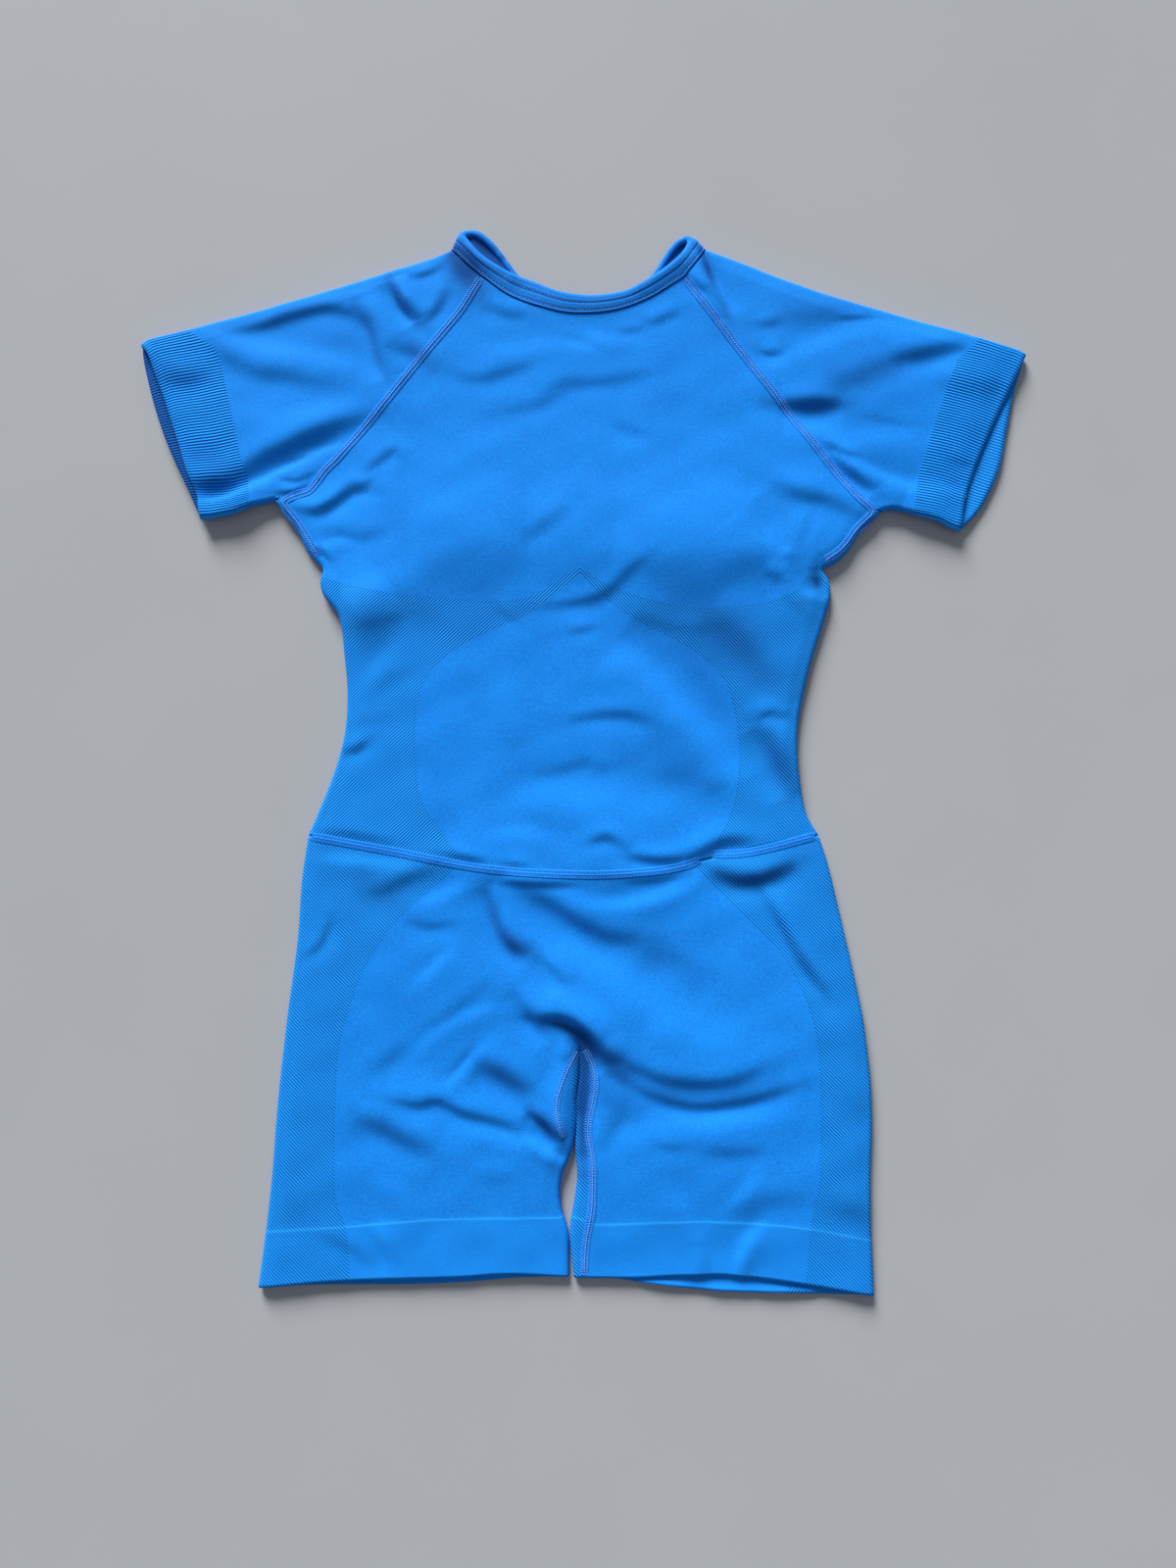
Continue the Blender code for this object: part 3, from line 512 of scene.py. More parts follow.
BODICE_CREASES = folds(Crease, (
    # below the neck
    (1.2, 4, 8,  -60, 258, -46, 252, -31, 250),
    (0.9, 3, 7,  34, 249, 42, 247, 58, 254),
    (-1, 7, 14,  -80, 232, -50, 231, -12, 234, 20, 236, 58, 230),
    (1, 4, 12,  -84, 218, -62, 212, -42, 217, -26, 222),
    (1, 4, 12,  -24, 198, -14, 208, 10, 210, 42, 216),
    (0.6, 4, 10,  -48, 192, -22, 198, -6, 206),
    (0.5, 2.5, 7,  -14, 239, 0, 236, 13, 229),
    (0.5, 2, 6,  18, 241, 27, 241, 36, 243),
    (0.5, 3.5, 8,  16, 187, 28, 181, 40, 178),
    # left underarm
    (2, 3, 8,  -167, 135, -155, 132.5, -145, 137, -134, 145, -121, 145),
    (0.7, 2.5, 7,  -137, 151, -128, 148, -119, 153),
    (1, 3, 8,  -129, 154, -119, 162, -110, 168, -103, 161),
    (0.9, 5, 10,  -146, 120, -128, 117, -108, 124),
    (-1, 3.5, 7,  -152, 111, -141, 115, -130, 113),
    (1.2, 2, 4,  -156, 112, -149, 108, -145, 101),
    # right underarm
    (1.7, 4.5, 13,  104, 152, 122, 143, 140, 139, 161, 129),
    (0.5, 2.5, 7,  126, 108, 126, 118, 129, 128, 133, 135),
    (-2.3, 10, 20,  92, 136, 106, 118, 124, 104),
    (0.8, 3, 7,  104, 98, 110, 94, 117, 88),
    (0.7, 3, 6,  111, 92, 117, 81, 128, 72),
    (-1.8, 5.5, 10,  112, 106, 118, 88, 128, 79, 138, 80),
    # between and below the bust
    (1, 5, 10,  -38, 113, -22, 124, -6, 137),
    (1.1, 3, 10,  -30, 76, -4, 79, 12, 84, 25, 96, 40, 108),
    (0.7, 2.5, 6,  -10, 63, -1, 63, 8, 66),
    (0.6, 2.5, 6,  -50, 78, -44, 72, -38, 68),
    (0.45, 3.5, 9,  26, 74, 42, 67, 58, 64, 76, 65),
    (2.2, 8, 17,  70, 74, 88, 60, 102, 38, 110, 16),
    (0.5, 3.5, 10,  -134, 65, -117, 67, -98, 74),
    (-0.8, 5, 11,  -130, 20, -118, 42, -104, 60),
    (0.6, 4, 9,  -120, 28, -108, 36, -94, 40),
    (0.5, 3, 8,  -132, 10, -120, 12, -106, 12),
    # belly
    (1.5, 2.5, 7,  -139, -7, -130, -5.5, -121, 0),
    (1.1, 2.5, 7,  98, 14, 107, 15, 117, 13),
    (3.6, 6, 13,  98, 10, 108, -4, 118, -34),
    (-5, 11, 21,  14, 56, 40, 38, 60, 14, 76, -8, 87, -28),
    (1.2, 3, 10,  -12, 10, 8, 14, 25, 14, 42, 8),
    (0.7, 3.5, 11,  -32, -19, -16, -18, 1, -13, 10, -16, 22, -14),
    (-1.8, 11, 24,  -60, -44, -18, -32, 18, -35, 66, -48),
    (0.6, 7, 14,  20, -20, 55, -22, 90, -34),
    (1.2, 8, 16,  -58, 26, -48, 8, -42, -8),
    (-0.8, 5, 10,  -60, -56, -34, -52, -10, -60),
    # above the waist seam
    (1.4, 3, 7,  1, -59, 14, -55.5, 26, -64),
    (1.6, 2.5, 6,  24, -66, 42, -68, 58, -67),
    (2.4, 4, 9,  54, -69, 66, -64, 80, -58, 98, -58),
    (1.1, 2, 5,  -82, -64, -68, -66.5, -52, -69.5),
    (0.8, 1.8, 5,  -46, -69, -38, -71, -30, -72),
    (0.9, 2.5, 6,  -151, -52, -130, -54, -104, -59),
))
SLEEVE_CREASES = folds(Crease, (
    # left sleeve
    (1.6, 3.5, 12,  -213, 241, -192, 243, -172, 250, -152, 254.5, -138, 252, -122, 242),
    (-1, 7, 13,  -228, 243, -192, 232, -160, 227, -132, 220, -112, 206),
    (1.7, 6, 14,  -234, 244, -216, 230, -194, 217, -168, 212, -142, 207),
    (-1.2, 9, 16,  -216, 197, -182, 190, -150, 192, -122, 200),
    (2.9, 5.5, 14,  -208, 148, -186, 163, -165, 173, -145, 182, -118, 191),
    (-1.3, 3, 8,  -208, 144, -188, 151, -170, 160, -152, 169, -138, 173),
    (0.5, 2, 5,  -174, 163, -164, 165, -154, 166),
    (0.7, 2, 5,  -176, 153, -166, 151, -154, 157),
    (1.2, 2, 5,  -180, 143, -167, 144.5, -157, 150),
    (3.6, 2.6, 8,  -114, 273, -107, 259, -97, 246),
    (1, 2.5, 7,  -95, 245, -86, 254, -80, 268),
    (2.3, 4, 11,  -134, 259, -124, 244, -119, 226, -113, 211),
    (1, 4.5, 9,  -118, 235, -104, 229, -92, 226),
    (1, 2.5, 7,  -106, 275, -93, 276, -80, 284),
    (1.7, 7, 13,  -252, 214, -236, 211, -216, 214),
    (0.9, 6, 12,  -236, 180, -220, 172, -204, 170),
    (3.2, 6.5, 13,  -236, 150, -216, 149, -199, 151),
    (-2.2, 4, 8,  -226, 139, -208, 141, -190, 147),
    # right sleeve
    (-2.8, 3, 9,  67, 292, 73, 276, 79, 263, 85, 248),
    (1.2, 2.5, 6,  60, 277, 66, 269, 74, 263),
    (0.9, 2.5, 6,  102, 230, 109, 227, 117, 230),
    (0.8, 3, 7,  100, 245, 108, 245, 117, 249),
    (0.7, 6, 14,  104, 243, 124, 248, 142, 251, 160, 251, 176, 249),
    (0.5, 1.5, 4,  146, 248, 160, 249.5, 174, 250),
    (-1.1, 7, 13,  104, 218, 138, 234, 170, 243, 206, 243),
    (2.4, 4.5, 12,  176, 222, 193, 226, 208, 229, 228, 234),
    (1.2, 8, 15,  130, 204, 150, 209, 170, 216, 190, 222),
    (3, 4.5, 11,  112, 197, 122, 196, 136, 196, 152, 197),
    (-1.2, 9, 15,  122, 184, 156, 178, 196, 174),
    (0.35, 3, 8,  156, 192, 175, 187, 200, 184),
    (1, 2.5, 6,  138, 175, 149, 168, 160, 164),
    (2.4, 3.5, 8,  142, 167, 154, 156, 169, 144),
    (-1.2, 4, 9,  152, 164, 172, 154, 200, 143),
    (1.4, 7, 16,  200, 210, 220, 208, 246, 204),
    (0.8, 3.5, 8,  210, 166, 218, 163, 230, 160),
    (-1.4, 5, 9,  196, 150, 210, 146, 226, 144),
))
SHORTS_CREASES = folds(Crease, (
    # below the waist seam
    (-1.2, 4, 8,  -152, -66, -126, -68, -94, -72),
    (1.2, 4.5, 9,  -122, -86, -110, -84, -98, -78, -80, -72),
    (-1.2, 5, 9,  -98, -95, -80, -88, -63, -78),
    (0.8, 3, 8,  -100, -99, -88, -105, -68, -103),
    (1.2, 2, 5,  -50, -80, -28, -81.5, 0, -82),
    (2.6, 5, 15,  -48, -79, -30, -86, -14, -95, 0, -105, 15, -111, 36, -111),
    (3, 4.5, 11,  -54, -80, -48, -99, -42, -114, -29, -122),
    (-1.8, 5, 10,  -6, -92, 22, -92, 45, -87, 64, -78),
    (0.9, 2, 5,  20, -80, 40, -79, 58, -76),
    (3.2, 4.5, 11,  68, -71, 85, -79, 102, -78, 122, -69),
    (2.2, 2.2, 7,  98, -80, 111, -104, 121, -124, 136, -144),
    (1.2, 3, 7,  -24, -120, -16, -130, -8, -140),
    (-2.5, 12, 23,  -40, -103, -10, -118, 22, -136, 66, -162),
    (0.9, 8, 14,  20, -112, 45, -120, 75, -132),
    (0.8, 2, 6,  -157, -123, -147, -115, -141, -99),
    # left leg
    (2.2, 4, 9,  -38, -138, -29, -154, -17, -168),
    (0.6, 4, 9,  -94, -167, -72, -152, -50, -133),
    (-0.7, 3, 8,  -94, -138, -82, -127, -72, -116),
    (0.7, 5, 10,  -120, -186, -108, -178, -98, -168),
    (-1, 3, 7,  -79, -196, -66, -182, -54, -168),
    (3.4, 7, 13,  -60, -180, -46, -186, -36, -193, -26, -198),
    (1.7, 3, 10,  -112, -199, -92, -203, -80, -201, -68, -207, -46, -213, -30, -218),
    (2.5, 7, 13,  -126, -208, -108, -217, -94, -224, -80, -230),
    (0.6, 2.5, 5,  -76, -190, -68, -180, -60, -170),
    (-0.7, 4, 9,  -98, -180, -80, -162, -56, -151, -36, -148),
    (0.8, 4, 9,  -146, -272, -128, -280, -114, -292),
    (0.9, 3.5, 8,  -118, -268, -110, -280, -104, -293),
    (2.6, 2.5, 7,  -31, -205, -22, -213, -12, -224),
    (-1.6, 2.5, 6,  -32, -217, -20, -228, -7, -236),
    (-1, 5, 10,  -66, -212, -46, -220, -22, -224),
    (0.5, 5, 10,  -62, -240, -50, -243, -36, -242),
    (-0.9, 7, 12,  -120, -240, -96, -252, -84, -280),
    # right leg
    (3.6, 2.6, 8,  -27, -155.5, -12, -156, -2, -161, 7, -171, 16, -184),
    (2.1, 4.2, 11,  0, -162, 16, -176, 40, -188, 62, -192, 82, -190, 104, -181),
    (2, 3.4, 9,  10, -182, 36, -197, 60, -204, 80, -203, 98, -199, 122, -191),
    (-1.8, 8, 15,  14, -222, 50, -213, 82, -209, 124, -207),
    (0.8, 4, 9,  64, -227, 84, -229, 104, -227),
    (0.6, 3, 7,  38, -222, 48, -226, 58, -226),
    (0.95, 8, 14,  74, -258, 108, -254, 134, -259, 157, -263),
    (-0.7, 5, 10,  44, -240, 58, -264, 72, -292),
    (-2.2, 13, 26,  18, -146, 60, -164, 116, -176),
    (-1.2, 4, 9,  82, -294, 90, -276, 102, -264),
    (-0.9, 4, 9,  78, -258, 88, -250, 96, -238),
    (1, 5, 10,  4, -228, 12, -222, 20, -206),
))
PUFFS = folds(Puff, (
    # right underarm
    (-2.4, 3.8, 0,  134, 96, 135, 91, 137, 85),
    (1.8, 4, 0,  116, 106, 119, 93, 126, 83, 138, 81),
    (4.4, 31, 0.3,  -106, 112, -72, 114, -26, 116),
    (6, 31, 0.3,  10, 112, 62, 110, 112, 116),
    (5.8, 17, 0,  -142, 76, -124, 77, -106, 86),
    (1.6, 20, 0,  -92, -62, -30, -72, 48, -70),
    (1.2, 26, 0,  -110, -140, -60, -136, -20, -146),
    (2, 28, 0,  30, -150, 78, -160, 120, -168),
    (1.2, 22, 0,  -200, 200, -160, 204, -126, 208),
    (1.2, 24, 0,  124, 218, 160, 206, 206, 196),
    (-3.4, 15, 0,  220, 126, 236, 168, 254, 216),
    # the hems lie closer to the back layer, in waves on the right leg
    (-2, 36, 0,  -186, -304, -90, -298, 0, -296),
    (-3.2, 30, 0,  -6, -297, 78, -298, 166, -308),
    (0.9, 6, 0,  60, -300, 63, -290, 64, -278),
    (0.9, 5, 0,  84, -302, 86, -292, 88, -280),
    # round the crotch: a high fold above it, a raised left edge and a sunken strip beside it
    (2.4, 8, 0,  -32, -148, -12, -147, 4, -155, 16, -170),
    (2.4, 5, 0,  -10, -176, -12, -200, -13, -226),
    (-3.2, 5.5, 0,  1, -170, 0, -200, -1, -230),
))
# Painted shade: patches where the knit's colour is darkened because shade falls there, in tight folds, by the
# crotch, under the bust and beside the right waist. Each row: strength, width and lean, then x and y of each
# spot of the path.
PAINTED_SHADE_SPOTS = folds(Puff, (
    (1, 3.2, 0,  -22, -158, -12, -160, -3, -166, 4, -176),
    (0.7, 6, 0,  0, -166, 10, -176, 22, -186),
    (1.2, 4.5, 0,  -1, -166, 0, -186, -1, -204),
    (0.9, 4, 0,  0, -196, 0, -214, 0, -240),
    (0.9, 5, 0,  -27, -206, -20, -214, -13, -223),
    (0.34, 14, 0,  56, 82, 74, 70, 90, 52, 100, 36, 108, 22),
    (0.34, 20, 0,  22, 66, 52, 60, 84, 56, 112, 56),
    (0.22, 13, 0,  26, -4, 46, -10, 70, -26),
    (0.5, 6, 0,  -54, -181, -43, -188, -34, -196),
    (0.35, 6, 0,  -124, -210, -106, -218, -86, -229),
    (0.24, 9, 0,  14, -112, 38, -120, 64, -134),
    (0.6, 4, 0,  -54, -86, -48, -104, -39, -117),
    (0.6, 5, 0,  -45, -111, -36, -117, -28, -120),
    (0.28, 8, 0,  -124, -82, -110, -90, -96, -97),
    (0.7, 4.5, 0,  76, -76, 92, -80, 116, -72),
    (0.35, 2.5, 0,  110, -102, 122, -122, 134, -140),
    (0.4, 6, 0,  22, -185, 50, -196, 76, -198, 106, -189),
    (0.35, 9, 0,  6, -186, 16, -200, 30, -207),
    (0.4, 6, 0,  138, -257, 150, -262, 158, -266),
    (0.5, 5, 0,  -228, 151, -214, 150, -200, 154),
    (0.2, 10, 0,  66, 36, 80, 14, 96, 2),
    (0.2, 18, 0,  -104, 74, -66, 70, -24, 72),
    (1.1, 7.6, 0,  -79, 295, -72, 281, -62, 265),
    (0.65, 5, 0,  -74, 291, -66, 284, -57, 277),
    (0.5, 3, 0,  80, 262, 83, 254, 86, 246),
    (0.65, 7, 0,  105, 2, 111, -12, 117, -29),
    (0.9, 3.6, 0,  133, 96, 134, 91, 136, 86),
    (1, 2.8, 0,  68, 291, 72, 281, 76, 268),
    (0.5, 3.6, 0,  106, 197, 124, 196, 150, 196),
    (0.45, 10, 0,  136, 206, 165, 214, 194, 220),
    (0.3, 10, 0,  100, 246, 128, 253, 158, 252),
    (0.35, 4.5, 0,  -208, 243, -186, 246, -166, 253, -142, 255),
    (0.16, 10, 0,  -176, 238, -150, 242, -126, 230),
    (0.5, 3.2, 0,  -134, 258, -125, 244, -120, 226, -114, 211),
    (0.8, 2.8, 0,  -114, 273, -107, 258, -97, 246),
    (0.35, 3.5, 0,  -80, 264, -86, 254, -92, 246),
    (0.55, 6, 0,  -106, 236, -97, 227, -88, 219),
    (0.35, 6, 0,  -248, 217, -235, 213, -222, 213),
    (0.3, 7, 0,  -234, 170, -220, 165, -206, 160),
))
BACK_CREASES = folds(Crease, (
    (0.35, 6, 14,  -120, 60, -60, 44, 10, 52),
    (0.35, 6, 14,  -20, -20, 50, -10, 110, -26),
    (0.35, 7, 16,  -60, 150, 0, 138, 70, 150),
    (0.35, 6, 14,  -100, -110, -40, -122, 20, -112),
    (0.35, 6, 14,  -8, -150, 40, -170, 90, -174),
    (0.35, 6, 14,  -130, -220, -80, -206, -30, -212),
    (0.3, 5, 12,  -200, 190, -160, 196, -120, 216),
    (0.3, 5, 12,  120, 206, 160, 186, 200, 184),
))
RIMS = folds(Puff, (
    # open cuffs: the back layer stands up at its edge
    (3.6, 5, 0,  -223, 132, -229.8, 147.4, -240.6, 170.4, -249.6, 194.5, -256.4, 218, -258, 226),
    (1.4, 6, 0,  222, 127, 232, 138.2, 241.6, 158.8, 246.6, 181.6, 252.2, 206, 256, 219),
    # right hem: the back layer's edge curls up in three scallops
    (1.5, 2.8, 0,  26, -298.6, 44, -301, 60, -302.4),
    (1.5, 2.8, 0,  66, -303, 76, -303.7, 86, -304),
    (1.5, 2.8, 0,  88, -304, 106, -304.5, 124, -304.8),
    # neck loops: the back of the binding stands up
    (2.8, 3.4, 0,  -70, 302.6, -66.5, 303.6, -61.4, 301.8, -55.5, 297.4, -48.5, 289.8),
    (2.4, 3.4, 0,  62, 299.6, 56.2, 298.2, 51.4, 293.8, 47.2, 287.6),
    # neck loops: the front of the binding stands up
    (1.6, 6, 0,  -72, 302, -67, 296, -61.4, 288.6, -54.2, 282.4, -42, 275),
    (1.6, 6, 0,  62.4, 300, 56, 288, 45.6, 278.4, 34, 270.2),
))
LIFTS = folds(Puff, (
    (3.4, 11, 0,  -226, 124, -202, 131, -182, 138),
    (3.4, 11, 0,  224, 119, 200, 129, 180, 136),
))


def total_height(parts: Iterable[Crease | Puff], points: Array) -> Array:
    """What several creases and puffs add together at each plan point.

    Args:
        parts: the creases and puffs.
        points: plan points.

    Returns:
        The height at each point, in millimetres.
    """
    return sum(part.height(points) for part in parts)


@dataclass
class Relief:
    """Heights of the two layers: flat back layer, and a front layer that lies on it with loft and creases."""

    outline: Outline
    wall: float = 1.2
    layer_gap: float = 0.9
    fold_depth: float = 2.4
    loft: float = 3.0
    back_loft: float = 0.7
    least_lift: float = 0.05
    loft_reach: float = 10.0
    edge_loft: float = 0.7
    rounding: float = 0.4
    ripple_height: float = 0.16
    ripple_count: int = 14
    shortest_ripple: float = 13.0
    longest_ripple: float = 48.0
    seed: int = 11
    creases: tuple[Crease | Puff, ...] = BODICE_CREASES + SLEEVE_CREASES + SHORTS_CREASES + PUFFS
    edges: list[Array] = field(init=False)

    def __post_init__(self) -> None:
        """Works out the folded edges once."""
        self.edges = self.outline.folded_edges()

    def ripples(self, points: Array) -> Array:
        """Faint unevenness of slack cloth: a sum of long sine waves in mixed directions."""
        random = np.random.default_rng(self.seed)
        turn = random.uniform(0, math.pi, self.ripple_count)
        length = random.uniform(self.shortest_ripple, self.longest_ripple, self.ripple_count)
        start = random.uniform(0, 2 * math.pi, self.ripple_count)
        phase = (points[:, :1] * np.cos(turn) + points[:, 1:2] * np.sin(turn)) * (2 * math.pi / length)
        return self.ripple_height * np.sin(phase + start).sum(1) / math.sqrt(self.ripple_count / 2)

    def heights(self, points: Array) -> tuple[Array, Array]:
        """Middle height of the back and of the front layer at each plan point.

        The front layer stands a wall, a gap and its puff above the back layer. Near a folded edge the
        two come together along a quarter of an ellipse.

        Args:
            points: plan points in millimetres.

        Returns:
            The heights of the back layer and of the front layer, in millimetres.
        """
        reach = self.loft_reach + 1
        edge = np.min([nearest(points, path, reach)[0] for path in self.edges], axis=0)
        loose = smoothstep(0, 1, edge / self.loft_reach)
        lift = np.maximum(total_height(LIFTS + RIMS, points) - self.least_lift, 0)
        puff = self.loft + self.ripples(points) + total_height(self.creases, points)
        puff = 0.5 * (puff + np.sqrt(puff**2 + self.rounding))
        puff = puff * (self.edge_loft + (1 - self.edge_loft) * loose)
        tucks = (self.back_loft + total_height(BACK_CREASES, points)) * loose
        back = self.wall / 2 + lift
        front = back + self.wall + self.layer_gap + puff
        back = back + tucks
        turn = np.clip(edge / self.fold_depth, 0, 1)
        round_over = np.sqrt(np.clip(1 - (1 - turn) ** 2, 0, 1))
        middle, half = (front + back) / 2, (front - back) / 2
        return middle - half * round_over, middle + half * round_over

    def hollow(self, points: Array) -> Array:
        """Painted shade at each plan point, from 0 to 1: how far the knit's colour is darkened in folds, by
        the crotch, under the bust and in other places where shade falls.
        """
        return np.clip(total_height(PAINTED_SHADE_SPOTS, points), 0, 1)

    def top(self, points: Array) -> Array:
        """Height of the front layer's outer face at each plan point."""
        return self.heights(points)[1] + self.wall / 2

    def laid(self, grid: Array, face: Face, extra: Array | float = 0.0) -> Array:
        """A grid of plan points with the layer's middle height added as a third column.

        Args:
            grid: plan points in rows and columns.
            face: the layer.
            extra: how far above the middle height it lies.

        Returns:
            The grid with three columns.
        """
        back, front = self.heights(grid.reshape(-1, 2))
        z = (front if face is Face.FRONT else back).reshape(grid.shape[:2]) + extra
        return np.concatenate([grid, z[..., None]], axis=2)


# ---------------------------------------------------------------- meshes


@dataclass
class Grid:
    """One grid of a sheet: its points, whether its quads are turned round, and its values at each point."""

    points: Array
    turned: bool
    values: dict[str, Array] = field(default_factory=dict)

    def quads(self, start: int) -> Array:
        """Corner numbers of the grid's quads, with its first point numbered start."""
        rows, columns = self.points.shape[:2]
        index = start + np.arange(rows * columns).reshape(rows, columns)
        corners = (index[:-1, :-1], index[:-1, 1:], index[1:, 1:], index[1:, :-1])
        quads = np.stack(corners, axis=-1).reshape(-1, 4)
        return quads[:, ::-1] if self.turned else quads


@dataclass
class Sheet:
    """A surface of welded quads in millimetres, with named values at its points."""

    points: Array
    quads: Array
    values: dict[str, Array]

    @classmethod
    def welded(cls, grids: Sequence[Grid]) -> Sheet:
        """Joins grids where their points coincide. Values that a grid lacks are 0 there."""
        names = sorted({name for grid in grids for name in grid.values})
        starts = np.cumsum([0] + [grid.points[..., 0].size for grid in grids])
        points = np.vstack([grid.points.reshape(-1, 3) for grid in grids])
        quads = np.vstack([grid.quads(start) for grid, start in zip(grids, starts)])
        keys = np.round(points / WELD).astype(np.int64)
        _, first, index = np.unique(keys, axis=0, return_index=True, return_inverse=True)
        values = {}
        for name in names:
            flat = [
                np.asarray(grid.values.get(name, np.zeros(grid.points.shape[:2])), float).reshape(-1)
                for grid in grids
            ]
            values[name] = np.concatenate(flat)[first]
        return cls(points[first], index.reshape(-1)[quads], values)

    def normals(self) -> Array:
        """Unit normal at each point: the sum of the cross products of its quads' diagonals."""
        corners = self.points[self.quads]
        cross = np.cross(corners[:, 2] - corners[:, 0], corners[:, 3] - corners[:, 1])
        length = np.linalg.norm(cross, axis=1, keepdims=True)
        cross /= np.sqrt(np.maximum(length, 1e-12))
        total = np.zeros_like(self.points)
        for k in range(4):
            for axis in range(3):
                total[:, axis] += np.bincount(self.quads[:, k], cross[:, axis], len(total))
        return total / np.maximum(np.linalg.norm(total, axis=1, keepdims=True), 1e-12)

    def walled(self, thickness: float) -> Sheet:
        """Outer and inner wall round the surface, with a rim along each open edge.

        The value named raised moves the outer wall out by that many millimetres more.

        Args:
            thickness: the wall's thickness.

        Returns:
            The closed wall. Its value named inner is 1 on the inner wall.
        """
        normals = self.normals()
        count = len(self.points)
        raised = self.values.get("raised", np.zeros(count))[:, None]
        outer = self.points + normals * (thickness / 2 + raised)
        inner = self.points - normals * thickness / 2
        a = self.quads.reshape(-1)
        b = np.roll(self.quads, -1, axis=1).reshape(-1)
        real = a != b
        a, b = a[real], b[real]
        alone = ~np.isin(a * count + b, b * count + a)
        rim = np.stack([b, a, a + count, b + count], axis=1)[alone]
        quads = np.vstack([self.quads, self.quads[:, ::-1] + count, rim])
        values = {name: np.concatenate([value, value]) for name, value in self.values.items()}
        values["inner"] = np.repeat([0.0, 1.0], count)
        return Sheet(np.vstack([outer, inner]), quads, values)

    def to_object(self, name: str, material: Material) -> bpy.types.Object:
        """Mesh object of the sheet in metres, shaded smooth, with its values as point attributes.

        Args:
            name: the name of the object.
            material: its material.

        Returns:
            The mesh object, at the origin.
        """
        repeated = (self.quads == np.roll(self.quads, -1, axis=1)).any(axis=1)
        whole = self.quads[~repeated]
        thin = [list(dict.fromkeys(face)) for face in self.quads[repeated].tolist()]
        faces = whole.tolist() + [face for face in thin if len(face) == 3]
        mesh = bpy.data.meshes.new(name)
        mesh.from_pydata(((self.points + TO_CENTRE) * MM).tolist(), [], faces)
        mesh.update()
        for key, value in self.values.items():
            mesh.attributes.new(key, "FLOAT", "POINT").data.foreach_set("value", value.astype(np.float32))
        mesh.polygons.foreach_set("use_smooth", np.ones(len(faces), bool))
        mesh.materials.append(material)
        made = bpy.data.objects.new(name, mesh)
        bpy.context.scene.collection.objects.link(made)
        return made


def share_points(front: Array, back: Array, rows: slice, column: int) -> None:
    """Gives two layers one point on each of these rows of a folded edge, midway between them."""
    middle = (front[rows, column] + back[rows, column]) / 2
    front[rows, column] = middle
    back[rows, column] = middle


# ---------------------------------------------------------------- knit patterns


